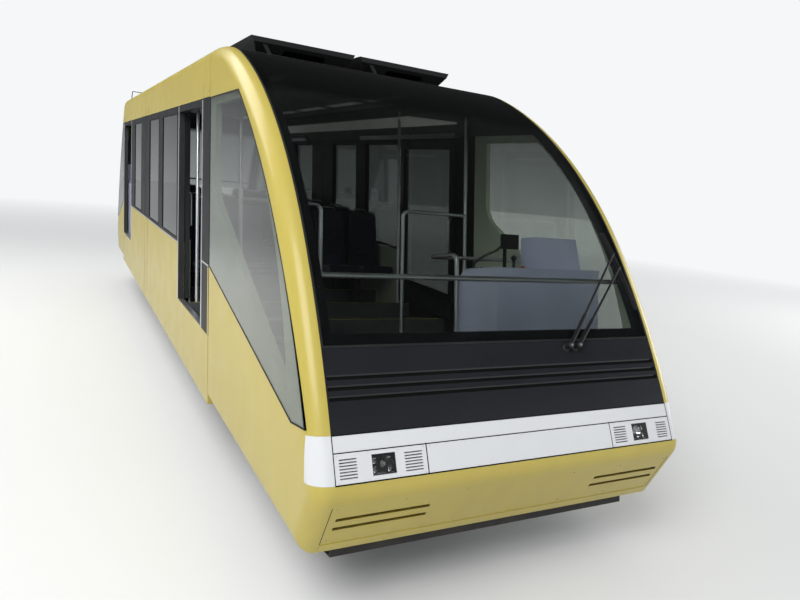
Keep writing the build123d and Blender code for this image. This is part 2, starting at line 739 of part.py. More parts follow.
# Roof hoods: flared boxes with an undercut mouth, a rounded slot in it and a slanting brace
hood_outer = HALF_WIDTH - COVE_RADIUS - HOOD_FROM_COVE
hood_inner = HOOD_APART / 2
hood_foot, hood_top = CROWN_UP + FIT, CROWN_UP + HOOD_HEIGHT
hoods = []
for end in (-1, 1):
    inward = -end
    y_front = LOWER_JOINT + HOOD_LOWER_FRONT if end < 0 else UPPER_JOINT - HOOD_UPPER_FRONT
    y_sill = y_front + inward * HOOD_UNDERCUT
    y_back = y_front + inward * HOOD_LENGTH
    profile = side_face([
        (y_front, rail(y_front) + hood_top),
        (y_front, rail(y_front) + hood_top - HOOD_LIP),
        (y_sill, rail(y_sill) + hood_foot),
        (y_back, rail(y_back) + hood_foot),
        (y_back, rail(y_back) + hood_top),
    ])
    for left in (-hood_outer, hood_inner):
        right = left + hood_outer - hood_inner
        flare = [(left + HOOD_FLARE, hood_foot), (left, hood_top), (right, hood_top),
                 (right - HOOD_FLARE, hood_foot)]
        span = sorted((y_front - inward * OUT, y_back + inward * OUT))
        hood = across(profile, left, right) & along_track(flare, *span)
        levels = [CROWN_UP + level for level in HOOD_SLOT_LEVELS]
        mouth = sorted((y_front - inward * OUT, y_front + inward * HOOD_SLOT_DEPTH))
        slot = slant_box(left + HOOD_SLOT[0], left + HOOD_SLOT[1], *mouth, *levels)
        rims = slot.edges().filter_by(lambda e: e.length > HOOD_SLOT_DEPTH and abs((e % 0).X) < 0.1)
        hood -= fillet(rims, (levels[1] - levels[0]) * 0.45)
        foot_x, head_x = left + HOOD_BRACE[1], left + HOOD_BRACE[0]
        bar = [(head_x, hood_top - 1), (head_x + BRACE_WIDTH, hood_top - 1), (foot_x, hood_foot),
               (foot_x - BRACE_WIDTH, hood_foot)]
        hood += along_track(bar, *sorted((y_front + inward * 15, y_front + inward * 45)))
        hoods.append(hood)
save("roof_hoods", hoods)

# Sliding doors: each leaf hangs from rollers in a header track and slides inside the wall
LEAF_INNER = INSIDE - LEAF_GAP - LEAF_THICKNESS
LEAF_OUTER = INSIDE - LEAF_GAP
LEAF_MIDDLE = (LEAF_INNER + LEAF_OUTER) / 2
LEAF_FOOT_UP = BOARDING_UP + LEAF_CLEAR
LEAF_HEAD_UP = HEADER_UP + LEAF_LAP
TRACK_LIP_UP = LEAF_HEAD_UP + TRACK_ABOVE_LEAF
tracks = []
for side, side_name in ((-1, "left"), (1, "right")):
    for name, (y0, y1) in DOORS.items():
        opens = 1 if name == "lower" else -1
        # The doors on the left stand open at rest, the doors on the right are shut
        shift = opens * DOOR_WIDTH if side < 0 else 0.0
        low, high = y0 - LEAF_LAP + shift, y1 + LEAF_LAP + shift
        xs = sorted((side * LEAF_INNER, side * LEAF_OUTER))
        leaf = slant_box(*xs, low, high, LEAF_FOOT_UP, LEAF_HEAD_UP)
        light = (low + LEAF_STILE, high - LEAF_STILE, LEAF_FOOT_UP + LEAF_RAIL, LEAF_HEAD_UP - LEAF_STILE)
        leaf -= slant_box(xs[0] - 1, xs[1] + 1, *light)
        for place in (0.2, 0.8):
            y = low + (high - low) * place
            stem = sorted((side * (LEAF_MIDDLE - 5), side * (LEAF_MIDDLE + 5)))
            shoe = sorted((side * (LEAF_MIDDLE - ROLLER_HALF), side * (LEAF_MIDDLE + ROLLER_HALF)))
            leaf += slant_box(*stem, y - 60, y + 60, LEAF_HEAD_UP, TRACK_LIP_UP + 25)
            leaf += slant_box(*shoe, y - 60, y + 60, TRACK_LIP_UP + FIT, TRACK_LIP_UP + 25)
        save(f"door_{side_name}_{name}", leaf)
        gx = sorted((side * (LEAF_MIDDLE - PANE / 2), side * (LEAF_MIDDLE + PANE / 2)))
        save(f"door_glass_{side_name}_{name}",
             slant_box(*gx, light[0] + FIT, light[1] - FIT, light[2] + FIT, light[3] - FIT))

        # Header track, a channel with two lips that the rollers ride on
        if opens < 0:
            ends = [y0 - LEAF_LAP - DOOR_WIDTH - 20, y1 + LEAF_LAP + 20]
        else:
            ends = [y0 - LEAF_LAP - 20, y1 + LEAF_LAP + DOOR_WIDTH + 20]
        half = ROLLER_HALF + 5.5
        outline = [(-half - 5, TRACK_LIP_UP - 6), (-10, TRACK_LIP_UP - 6), (-10, TRACK_LIP_UP),
                   (-half, TRACK_LIP_UP), (-half, TRACK_LIP_UP + 36), (half, TRACK_LIP_UP + 36),
                   (half, TRACK_LIP_UP), (10, TRACK_LIP_UP), (10, TRACK_LIP_UP - 6),
                   (INSIDE - LEAF_MIDDLE, TRACK_LIP_UP - 6), (INSIDE - LEAF_MIDDLE, TRACK_LIP_UP + 42),
                   (-half - 5, TRACK_LIP_UP + 42)]
        tracks.append(along_track([(side * (LEAF_MIDDLE + x), up) for x, up in outline], *ends))
save("door_tracks", tracks)

# Stepped floor: one folded plate to a tread, its riser under the nosing


def nosing_at(index):
    """Station of a tread's nosing."""
    return FIRST_NOSING + index * TREAD_LENGTH


def tread_under(y):
    """Index of the tread that lies under station y."""
    return math.floor((y - FIRST_NOSING) / TREAD_LENGTH)


def floor_level(y):
    """Height of the tread under station y."""
    return rail(nosing_at(tread_under(y))) + BOARDING_UP


def foot_line(y0, y1, gap):
    """Stepped side-view points that keep a gap from the treads between two stations."""
    points = []
    for index in range(tread_under(y0), tread_under(y1) + 1):
        level = rail(nosing_at(index)) + BOARDING_UP + gap
        start = max(y0, nosing_at(index) - gap)
        stop = min(y1, nosing_at(index + 1) - gap)
        if stop > start:
            points += [(start, level), (stop, level)]
    return points


deck_half = INSIDE - FIT
treads, brackets = [], []
for index in range(tread_under(-FLOOR_REACH), tread_under(FLOOR_REACH) + 1):
    level = rail(nosing_at(index)) + BOARDING_UP
    start = max(nosing_at(index), -FLOOR_REACH)
    stop = min(nosing_at(index + 1) - FIT, FLOOR_REACH)
    below = rail(nosing_at(index - 1)) + BOARDING_UP - DECK
    outline = [(start, level), (stop, level), (stop, level - DECK), (start, level - DECK)]
    if start > -FLOOR_REACH:
        outline = outline[:3] + [(start + DECK, level - DECK), (start + DECK, below), (start, below)]
    treads.append(across(side_face(outline), -deck_half, deck_half))
    inner_start, inner_stop = start + DECK + BRACKET_END, stop - BRACKET_END
    y0, y1 = max(inner_start, -BEAM_REACH), min(inner_stop, BEAM_REACH)
    if y1 - y0 > BRACKET:
        web = side_face([
            (y0, rail(y0) + BEAM_TOP_UP + FIT),
            (y1, rail(y1) + BEAM_TOP_UP + FIT),
            (y1, level - DECK - FIT),
            (y0, level - DECK - FIT),
        ])
        for side in (-1, 1):
            x0, x1 = sorted((side * (BEAM_OFFSET - BRACKET / 2), side * (BEAM_OFFSET + BRACKET / 2)))
            brackets.append(across(web, x0, x1))
save("floor_deck", treads)
save("tread_brackets", brackets)

# Underframe: two channel beams along the car between two end beams
beam_out = BEAM_OFFSET + BEAM_WIDTH / 2
beam_in = BEAM_OFFSET - BEAM_WIDTH / 2
channel = [(beam_in, BEAM_FOOT_UP), (beam_out, BEAM_FOOT_UP), (beam_out, BEAM_TOP_UP), (beam_in, BEAM_TOP_UP),
           (beam_in, BEAM_TOP_UP - BEAM_WEB), (beam_out - BEAM_WEB, BEAM_TOP_UP - BEAM_WEB),
           (beam_out - BEAM_WEB, BEAM_FOOT_UP + BEAM_WEB), (beam_in, BEAM_FOOT_UP + BEAM_WEB)]
sole_reach = BEAM_REACH - END_BEAM - FIT
under = both_sides(along_track(channel, -sole_reach, sole_reach))
for end in (-1, 1):
    y0, y1 = sorted((end * BEAM_REACH, end * (BEAM_REACH - END_BEAM)))
    under.append(slant_box(-beam_out, beam_out, y0, y1, BEAM_FOOT_UP, BEAM_TOP_UP))
save("underframe", under)

# Cross members between the beams, each with a tapered outrigger to both sides of the body
cross_top = BEAM_TOP_UP - BEAM_WEB - FIT
stations = [0.0]
for end in (-1, 1):
    axle_at = end * WHEELBASE / 2
    stations += [end * CROSS_FROM_MIDDLE, axle_at - CROSS_FROM_AXLE, axle_at + CROSS_FROM_AXLE,
                 end * (BEAM_REACH - CROSS_FROM_END)]
crosses = []
for y in stations:
    between = beam_out - BEAM_WEB - FIT
    y0, y1 = y - CROSS_WIDTH / 2, y + CROSS_WIDTH / 2
    crosses.append(slant_box(-between, between, y0, y1, cross_top - CROSS_DEPTH, cross_top))
    for side in (-1, 1):
        root, tip = side * (beam_out + FIT), side * (INSIDE - FIT)
        wing = [(root, cross_top - CROSS_DEPTH), (root, cross_top), (tip, cross_top),
                (tip, cross_top - OUTRIGGER_TIP)]
        crosses.append(along_track(wing, y0, y1))
save("cross_members", crosses)

# Wheelsets: double-flanged wheels on the left rail, plain broad drums on the right


def wheel_solid(profile, x):
    """A wheel turned about the axle from (x, radius) points."""
    outline = Polyline(*[(x + px, 0, r) for px, r in profile], close=True)
    return revolve(make_face(outline), axis=Axis.X)


half_tread = TREAD_WIDTH / 2
flange = half_tread + FLANGE_WIDTH
rim = WHEEL_RADIUS - RIM
flanged = [(-flange, AXLE_RADIUS), (-flange, HUB_RADIUS), (-20, HUB_RADIUS), (-20, rim), (-flange, rim),
           (-flange, WHEEL_RADIUS + FLANGE_DEPTH), (-half_tread - 8, WHEEL_RADIUS + FLANGE_DEPTH),
           (-half_tread, WHEEL_RADIUS), (half_tread, WHEEL_RADIUS),
           (half_tread + 8, WHEEL_RADIUS + FLANGE_DEPTH), (flange, WHEEL_RADIUS + FLANGE_DEPTH),
           (flange, rim), (20, rim), (20, HUB_RADIUS), (flange, HUB_RADIUS), (flange, AXLE_RADIUS)]
half_drum = DRUM_WIDTH / 2
drum = [(-half_drum, AXLE_RADIUS), (-half_drum, HUB_RADIUS), (-20, HUB_RADIUS), (-20, rim), (-half_drum, rim),
        (-half_drum, WHEEL_RADIUS), (half_drum, WHEEL_RADIUS), (half_drum, rim), (20, rim),
        (20, HUB_RADIUS), (half_drum, HUB_RADIUS), (half_drum, AXLE_RADIUS)]
rail_middle = GAUGE / 2 + RAIL_HEAD / 2
journal_end = BEAM_OFFSET + AXLE_BOX_SIZE / 3
boxes, springs = [], []
for end, name in ((-1, "lower"), (1, "upper")):
    contact = end * WHEELBASE / 2
    centre = (0, contact - WHEEL_RADIUS * math.sin(SLOPE), rail(contact) + WHEEL_RADIUS * math.cos(SLOPE))
    seat = beam_in - 60
    axle = [(-journal_end, 0), (-journal_end, JOURNAL_RADIUS), (-seat, JOURNAL_RADIUS), (-seat, AXLE_RADIUS),
            (seat, AXLE_RADIUS), (seat, JOURNAL_RADIUS), (journal_end, JOURNAL_RADIUS), (journal_end, 0)]
    wheelset = wheel_solid(axle, 0) + wheel_solid(flanged, -rail_middle) + wheel_solid(drum, rail_middle)
    save(f"wheelset_{name}", Pos(*centre) * wheelset)
    for side in (-1, 1):
        x0, x1 = sorted((side * beam_in, side * (journal_end + 12)))
        half = AXLE_BOX_SIZE / 2
        box = Pos((x0 + x1) / 2, 0, 0) * Box(x1 - x0, AXLE_BOX_SIZE, AXLE_BOX_SIZE)
        hole = Pos(side * (beam_in + (journal_end - beam_in) / 2), 0, 0) * Rot(0, 90, 0) * Cylinder(
            JOURNAL_RADIUS + FIT, journal_end - beam_in + 2 * FIT)
        box -= hole
        boxes.append(Pos(*centre) * Rot(SLOPE_DEG, 0, 0) * box)
        top = half + FIT
        rise = (BEAM_FOOT_UP * math.cos(SLOPE) - WHEEL_RADIUS) - FIT
        spring = Pos(side * BEAM_OFFSET, 0, (top + rise) / 2) * Cylinder(SPRING_RADIUS, rise - top)
        springs.append(Pos(*centre) * Rot(SLOPE_DEG, 0, 0) * spring)
save("axle_boxes", boxes)
save("springs", springs)

# Rail brakes, a pair of jaws over each rail on a yoke under the middle of the car
brakes = []
for side in (-1, 1):
    x = side * rail_middle
    for jaw in (-1, 1):
        inner_x = x + jaw * (RAIL_HEAD / 2 + 8)
        x0, x1 = sorted((inner_x, inner_x + jaw * 45))
        brake = slant_box(x0, x1, -260, 260, BRAKE_FOOT, BRAKE_FOOT + 150)
        brakes.append(brake)
    brakes.append(slant_box(x - 110, x + 110, -180, 180, BRAKE_FOOT + 150, BRAKE_FOOT + 330))
yoke = slant_box(-beam_in + FIT, beam_in - FIT, -90, 90, BRAKE_FOOT + 330, cross_top - CROSS_DEPTH - FIT)
for brake in brakes:
    yoke += brake
save("rail_brakes", yoke)

# Rope anchor: a clevis under the upper end beam for the haul rope's socket
ear_top = BEAM_FOOT_UP - FIT
rope_pin_at = BEAM_REACH - ROPE_PIN_FROM_END
anchor = slant_box(-150, 150, BEAM_REACH - 2 * ROPE_PIN_FROM_END, BEAM_REACH, ear_top - 25, ear_top)
anchor_pin = (rope_pin_at, rail(rope_pin_at) + ROPE_PIN_UP)
for x in (-60, 30):
    anchor += slant_box(x, x + 30, rope_pin_at - 60, rope_pin_at + 60, ROPE_PIN_UP, ear_top - 20)
    anchor += Pos(x + 15, *anchor_pin) * Rot(0, 90, 0) * Cylinder(60, 30)
anchor -= Pos(0, *anchor_pin) * Rot(0, 90, 0) * Cylinder(ROPE_PIN_RADIUS, 200)
save("rope_anchor", anchor)

# Bumper beams behind the foot of both skirts, each on two gusset plates
bumpers = []
for end in (-1, 1):
    far_off = end * (HALF_LENGTH - BUMPER_FROM_NOSE)
    near = far_off - end * BUMPER_DEPTH
    foot = skirt_foot(end * (HALF_LENGTH - SKIRT_SET_BACK))
    y0, y1 = sorted((near, far_off))
    half = INSIDE - BUMPER_FROM_SIDE
    bumper = level_box(-half, half, y0, y1, foot - 80, foot + 60)
    bumper -= level_box(-half - 1, half + 1, y0 + 10, y1 - 10, foot - 70, foot + 50)
    root = end * (BEAM_REACH + FIT)
    low, high = rail(root) + BEAM_FOOT_UP + 10, rail(root) + BEAM_TOP_UP - 10
    plate = side_face([(root, high), (root, low), (near, foot + 50), (far_off, foot + 60),
                       (far_off, foot + 110)])
    for x in (-BEAM_OFFSET - 10, BEAM_OFFSET - 10):
        bumper += across(plate, x, x + 20)
    bumpers.append(bumper)
save("bumpers", bumpers)

# Headlamps behind their windows in the lamp bands
lamps = []
for end in (-1, 1):
    for side in (-1, 1):
        window = (LAMP_WINDOW[0] - FIT, LAMP_WINDOW[1] + FIT, PANEL_LEVELS[0] + FIT, PANEL_LEVELS[1] - FIT)
        lamps.append(frame_skin & front_hole(end, side, *window))
save("headlamps", lamps)

# Wipers: two arms on two pivots carry one blade that lies along the windscreen
blade_skin = car_volume(-BLADE_DEPTH, 0.0, 0.0) - car_volume(-FIT, 0.0, 0.0)
blade_foot_x, blade_head_x = FRONT_HALF - BLADE_FOOT[0], FRONT_HALF - BLADE_HEAD[0]
wipers = []
for end in (-1, 1):
    hand = -end
    corners = [(blade_foot_x - 8, BLADE_FOOT[1]), (blade_foot_x + 8, BLADE_FOOT[1]),
               (blade_head_x + 8, BLADE_HEAD[1]), (blade_head_x - 8, BLADE_HEAD[1])]
    placed = [nose_place(end, -OUT, height) for _, height in corners]
    outline = Polyline(*[(hand * x, y, z) for (x, _), (_, y, z) in zip(corners, placed)], close=True)
    wiper = blade_skin & extrude(make_face(outline), amount=DEEP, dir=(0, -end, 0))
    for pivot, reach in WIPER_ARMS:
        share = (reach - BLADE_FOOT[1]) / (BLADE_HEAD[1] - BLADE_FOOT[1])
        x = blade_foot_x + share * (blade_head_x - blade_foot_x)
        knee = Vector(*nose_spot(end, hand * pivot, PIVOT_UP, 45))
        tip = Vector(*nose_spot(end, hand * x, reach, BLADE_DEPTH))
        spindle = [nose_spot(end, hand * pivot, PIVOT_UP, proud) for proud in (FIT, 55)]
        wiper += tube(spindle, 18)
        wiper += tube([knee, knee + (tip - knee) * ARM_ROOT], 13)
        wiper += tube([knee, tip], 8)
    wipers.append(wiper)
save("wipers", wipers)

# Seats: rows of two and two, one row on each tread between the doors, facing downhill
outer_seat = INSIDE - SEAT_FROM_WALL - SEAT_WIDTH
seat_places = (outer_seat - SEAT_WIDTH - SEATS_APART, outer_seat)
cushions, backs, frames = [], [], []
for row in range(tread_under(LOWER_DOOR[0]), tread_under(UPPER_DOOR[1])):
    level = rail(nosing_at(row)) + BOARDING_UP
    front = nosing_at(row) + SEAT_SETBACK
    rear = front + SEAT_DEPTH + BACK_RAKE + BACK_PAD
    if front < LOWER_DOOR[1] - SEAT_INTO_DOORWAY or rear > UPPER_DOOR[0]:
        continue
    back_foot, back_head = level + SEAT_UP - SEAT_PAD, level + SEAT_UP + BACK_HEIGHT
    for side in (-1, 1):
        for near in seat_places:
            x0, x1 = sorted((side * near, side * (near + SEAT_WIDTH)))
            cushions.append(level_box(x0, x1, front, front + SEAT_DEPTH, back_foot, level + SEAT_UP))
            foot_y, head_y = front + SEAT_DEPTH + FIT, front + SEAT_DEPTH + BACK_RAKE
            back = across(side_face([(foot_y, back_foot), (foot_y + BACK_PAD, back_foot),
                                     (head_y + BACK_PAD, back_head), (head_y, back_head)]), x0, x1)
            backs.append(fillet(back.edges().filter_by(Axis.Y).group_by(Axis.Z)[-1], BACK_CORNER))
        x0, x1 = sorted((side * seat_places[0], side * (seat_places[1] + SEAT_WIDTH)))
        under_z = back_foot - FIT
        stand = level_box(x0, x1, front + 60, front + SEAT_DEPTH + BACK_PAD, under_z - 40, under_z)
        post = sorted((side * SEAT_POST[0], side * SEAT_POST[1]))
        y0, y1 = front + SEAT_POST_DEPTHS[0], front + SEAT_POST_DEPTHS[1]
        stand += level_box(*post, y0, y1, level + FIT, under_z - 30)
        stand += level_box(post[0] - SEAT_SHOE, post[1] + SEAT_SHOE, y0 - SEAT_SHOE, y1 + SEAT_SHOE,
                           level + FIT, level + 12)
        frames.append(stand)
save("seat_cushions", cushions)
save("seat_backs", backs)
save("seat_frames", frames)

# Linings inside the side walls, behind which the open door leaves slide
lining_out = LEAF_INNER - LINING_BEHIND_LEAF
linings = []
for side in (-1, 1):
    y0, y1 = LOWER_DOOR[1] + LEAF_LAP, UPPER_DOOR[0] - LEAF_LAP
    head = [(y1, rail(y1) + SILL_UP + LINING_HEAD), (y0, rail(y0) + SILL_UP + LINING_HEAD)]
    x0, x1 = sorted((side * lining_out, side * (lining_out - LINING)))
    linings.append(across(side_face(foot_line(y0, y1, FIT) + head), x0, x1))
save("side_linings", linings)

# Ceiling panel under the roof
ceiling_up = CROWN_UP - WALL / math.cos(SLOPE) - FIT
ceiling_half = HALF_WIDTH - COVE_RADIUS - CEILING_FROM_COVE
save("ceiling_panel", slant_box(-ceiling_half, ceiling_half, LOWER_JOINT + CEILING_LOWER_START,
                                UPPER_JOINT - CEILING_UPPER_STOP, ceiling_up - CEILING, ceiling_up))

# Handrails: bars behind both windscreens, poles and hoops by the doors, a gate rail by each console


def pole_top(x, y):
    """Height at which a pole at half-car place x stops under the ceiling or the roof's cove."""
    spring = GUTTER_UP + COVE_START
    bow = COVE_RADIUS - WALL - FIT
    offset = max(abs(x) + HANDRAIL - (HALF_WIDTH - COVE_RADIUS), 0.0)
    cove = spring + math.sqrt(bow * bow - offset * offset)
    below = CEILING + POLE_GAP if abs(x) - HANDRAIL < ceiling_half else POLE_GAP
    return rail(y) + min(cove - 2 * POLE_GAP, ceiling_up - below)


rails = []
for end in (-1, 1):
    _, y, z = nose_place(end, BAR_DEPTH, BAR_HEIGHT)
    rails.append(tube([(-INSIDE + FIT, y, z), (INSIDE - FIT, y, z)], HANDRAIL))
for jamb, (from_jamb, from_wall) in ((LOWER_DOOR[1], LOWER_POLE), (UPPER_DOOR[0], UPPER_POLE)):
    y = jamb - from_jamb
    for side in (-1, 1):
        x = side * (INSIDE - from_wall)
        rails.append(tube([(x, y, floor_level(y) + FIT), (x, y, pole_top(x, y))], HANDRAIL))
hoop_y = LOWER_JOINT - HOOP_FROM_JOINT
for side in (-1, 1):
    pole_x, leg_x = side * (INSIDE - HOOP_POLE_FROM_WALL), side * HOOP_LEG
    floor = floor_level(hoop_y)
    hoop = tube([(pole_x, hoop_y, floor + FIT), (pole_x, hoop_y, pole_top(pole_x, hoop_y))], HANDRAIL)
    hoop += tube([(pole_x, hoop_y, floor + HOOP_HEIGHT), (leg_x, hoop_y, floor + HOOP_HEIGHT),
                  (leg_x, hoop_y, floor + FIT)], HANDRAIL, HOOP_BEND)
    rails.append(hoop)

# Driver's consoles behind each windscreen: a desk, a binnacle and a monitor on a stalk
consoles, monitors = [], []
for end in (-1, 1):
    inward, hand = -end, -end
    front = end * (HALF_LENGTH - CONSOLE_FRONT)
    back = front + inward * CONSOLE_DEPTH
    knee = back - inward * CONSOLE_STEP
    y0, y1 = sorted((front, back))
    desk = floor_level(front) + CONSOLE_HEIGHT
    head = [(back, desk - CONSOLE_STEP), (knee, desk), (front, desk)]
    outline = foot_line(y0, y1, FIT) + (head if end < 0 else head[::-1])
    wall_x = INSIDE - CONSOLE_FROM_WALL
    x0, x1 = sorted((hand * wall_x, hand * (wall_x - CONSOLE_WIDTH)))
    console = across(side_face(outline), x0, x1)
    rear = front + inward * BINNACLE_SET_BACK
    deep = rear + inward * BINNACLE_DEPTH
    slope = [(rear, desk), (deep, desk), (deep, desk + BINNACLE_HEIGHT),
             (rear + inward * 60, desk + BINNACLE_HEIGHT)]
    x0, x1 = sorted((hand * wall_x, hand * (wall_x - BINNACLE_WIDTH)))
    console += across(side_face(slope), x0, x1)
    consoles.append(console)
    screen_x = hand * (wall_x - CONSOLE_WIDTH + MONITOR_FROM_EDGE)
    screen_z = desk + MONITOR_RISE
    monitor = Pos(screen_x, rear, screen_z + MONITOR[2] / 2) * Box(*MONITOR)
    stalk_y = rear + inward * 60
    monitor += tube([(screen_x, stalk_y, desk + FIT), (screen_x, stalk_y, screen_z + 30),
                     (screen_x, rear, screen_z + 60)], STALK, 20)
    monitors.append(monitor)
    # The lower gate rail reaches back and over to the wall, the upper one stands clear of the doorway
    leg_x = hand * (wall_x - CONSOLE_WIDTH - GATE_LEG_GAP)
    leg_y = back - inward * CONSOLE_STEP / 2 if end < 0 else back + inward * GATE_STAND_OFF
    level = floor_level(leg_y)
    gate_z = level + GATE_HEIGHT
    far_y = leg_y + inward * GATE_DEPTH
    if end < 0:
        way = [(leg_x, far_y, gate_z), (hand * (INSIDE - FIT), far_y, gate_z)]
    else:
        leaf_side = hand * (LEAF_INNER - GATE_FROM_LEAF)
        way = [(leaf_side, leg_y, gate_z), (leaf_side, leg_y, level + FIT)]
    foot_and_knee = [(leg_x, leg_y, level + FIT), (leg_x, leg_y, gate_z)]
    rails.append(tube(foot_and_knee + way, HANDRAIL, HOOP_BEND))
save("handrails", rails)
save("driver_consoles", consoles)
save("driver_monitors", monitors)
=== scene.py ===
import json
import logging
import math
from dataclasses import dataclass, field
from enum import Enum

import bmesh
import bpy
from mathutils import Matrix, Vector

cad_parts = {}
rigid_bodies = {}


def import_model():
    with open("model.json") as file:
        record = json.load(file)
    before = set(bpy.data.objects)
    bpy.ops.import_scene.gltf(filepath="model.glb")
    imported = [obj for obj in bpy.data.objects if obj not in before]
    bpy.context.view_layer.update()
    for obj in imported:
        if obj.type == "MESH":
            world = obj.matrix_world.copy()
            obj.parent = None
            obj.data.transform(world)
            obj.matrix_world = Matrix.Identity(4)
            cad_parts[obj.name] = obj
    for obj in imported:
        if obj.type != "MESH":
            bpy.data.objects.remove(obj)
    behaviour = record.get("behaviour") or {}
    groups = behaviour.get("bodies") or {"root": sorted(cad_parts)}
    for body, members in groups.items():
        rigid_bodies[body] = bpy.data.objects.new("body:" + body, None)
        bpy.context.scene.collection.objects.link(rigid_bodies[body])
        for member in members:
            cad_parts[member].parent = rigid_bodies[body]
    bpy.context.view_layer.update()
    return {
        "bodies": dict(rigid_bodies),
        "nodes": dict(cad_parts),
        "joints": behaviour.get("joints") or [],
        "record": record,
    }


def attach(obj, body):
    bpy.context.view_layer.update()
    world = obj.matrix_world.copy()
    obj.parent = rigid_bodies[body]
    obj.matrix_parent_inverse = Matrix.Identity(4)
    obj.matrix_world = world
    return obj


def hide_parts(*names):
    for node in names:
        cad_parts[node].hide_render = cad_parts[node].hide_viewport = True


LOG = logging.getLogger("funicular_car")

Point = tuple[float, float, float]
Colour = tuple[float, float, float]
# Two bounds or sizes that belong together
Span = tuple[float, float]
# Radius at the foot, height and radius at the top of a round boss
Boss = tuple[float, float, float]

SLOPE = math.radians(11.06)
TAN = math.tan(SLOPE)
SHEAR = Matrix(((1, 0, 0, 0), (0, 1, 0, 0), (0, TAN, 1, 0), (0, 0, 0, 1)))
CAR = "car"


def rail(y: float) -> float:
    """Height of the sloping rail line at station y."""
    return y * TAN


def mirrored(hand: int, reach: Span) -> Span:
    """Two distances from a middle, set off to one hand, the lower value first."""
    low, high = sorted((hand * reach[0], hand * reach[1]))
    return low, high


class Side(Enum):
    """The two long sides of the car, seen from the lower end."""

    LEFT = -1
    RIGHT = 1

    @property
    def label(self) -> str:
        """The word that names this side's nodes."""
        return self.name.lower()


class End(Enum):
    """The two noses of the car."""

    LOWER = -1
    UPPER = 1

    @property
    def label(self) -> str:
        """The word that names this end's nodes."""
        return self.name.lower()


@dataclass(frozen=True)
class Body:
    """The body's main lines, in metres; heights named up are measured from the rail line."""

    half_width: float = 1.350
    half_length: float = 5.560
    inside: float = 1.290
    front_half: float = 1.235
    boarding_up: float = 1.050
    sill_up: float = 1.630
    header_up: float = 2.970
    gutter_up: float = 3.030
    crown_up: float = 3.450
    windows: tuple[Span, ...] = ((-1.46, -0.43), (-0.12, 0.75), (1.64, 2.51))
    window_foot_up: float = 1.655
    lower_door: Span = (-2.73, -1.57)
    upper_door: Span = (3.04, 4.20)
    lower_joint: float = -3.06
    middle_joint: float = 1.19
    upper_joint: float = 4.26
    first_nosing: float = -5.700
    tread: float = 0.793

    def nosing(self, index: int) -> float:
        """Station of a floor tread's nosing."""
        return self.first_nosing + index * self.tread


BODY = Body()


@dataclass(frozen=True)
class Nose:
    """The curved skin of one nose, on which its trim is placed."""

    end: End
    bulge_up: float = 0.886
    arcs: tuple[Point, ...] = ((6.0, 14.0, 27.5), (3.8, 27.5, 60.0), (1.7, 60.0, 78.94))
    set_back: float = 0.270
    drop: float = 0.370

    def lean(self, height: float) -> float:
        """Lean angle of the skin, in degrees, at a height above the bulge."""
        low, high = self.arcs[0][1], self.arcs[-1][2]
        for _ in range(40):
            middle = (low + high) / 2
            if self._spot(middle)[1] < height:
                low = middle
            else:
                high = middle
        return low

    def _spot(self, lean: float) -> Span:
        """Depth and height of the skin where it leans by an angle."""
        depth = height = 0.0
        for radius, first, last in self.arcs:
            turn = min(max(lean, first), last)
            depth += radius * (math.cos(math.radians(first)) - math.cos(math.radians(turn)))
            height += radius * (math.sin(math.radians(turn)) - math.sin(math.radians(first)))
            if lean <= last:
                break
        return depth, height

    def _frame(self, x: float, depth: float, height: float, lean: float, proud: float) -> Matrix:
        """A place on the nose: X to the right seen from outside, Y up the skin, Z outward.

        Args:
            x: Distance to the right of the middle, seen from outside.
            depth: Depth inward from the bulge.
            height: Height above the bulge.
            lean: Lean of the skin there, in degrees.
            proud: Distance off the skin.

        Returns:
            The place as a matrix.
        """
        hand, turn = self.end.value, math.radians(lean)
        right = Vector((-hand, 0.0, 0.0))
        out = Vector((0.0, hand * math.cos(turn), math.sin(turn)))
        up = out.cross(right)
        spot = Vector((-hand * x, hand * (BODY.half_length - depth),
                       rail(hand * BODY.half_length) + self.bulge_up + height)) + out * proud
        turned = Matrix((right, up, out)).transposed().to_4x4()
        return Matrix.Translation(spot) @ turned

    def at(self, x: float, height: float, proud: float = 0.0) -> Matrix:
        """A place on the skin at a height above the bulge."""
        return self.leaning(x, self.lean(height), proud)

    def leaning(self, x: float, lean: float, proud: float = 0.0) -> Matrix:
        """A place on the skin where it leans by an angle."""
        depth, height = self._spot(lean)
        return self._frame(x, depth, height, lean, proud)

    def skirt(self, x: float, down: float, proud: float = 0.0) -> Matrix:
        """A place on the skirt, a distance down its slanting plane from the bulge."""
        reach = math.hypot(self.set_back, self.drop)
        share = down / reach
        lean = -math.degrees(math.atan2(self.set_back, self.drop))
        return self._frame(x, self.set_back * share, -self.drop * share, lean, proud)


def lifted(place: Matrix, height: float) -> Matrix:
    """A place moved along its own Z axis."""
    return place @ Matrix.Translation((0.0, 0.0, height))


def upward(places: list[Matrix]) -> list[Matrix]:
    """Turn skin places so that a strip can be carried along them up the skin."""
    return [place @ Matrix.Rotation(math.radians(90), 4, "X") for place in places]


def sideward(places: list[Matrix]) -> list[Matrix]:
    """Turn skin places so that a strip can be carried along them across the car."""
    turn = Matrix(((0, 0, 1, 0), (1, 0, 0, 0), (0, 1, 0, 0), (0, 0, 0, 1)))
    return [place @ turn for place in places]


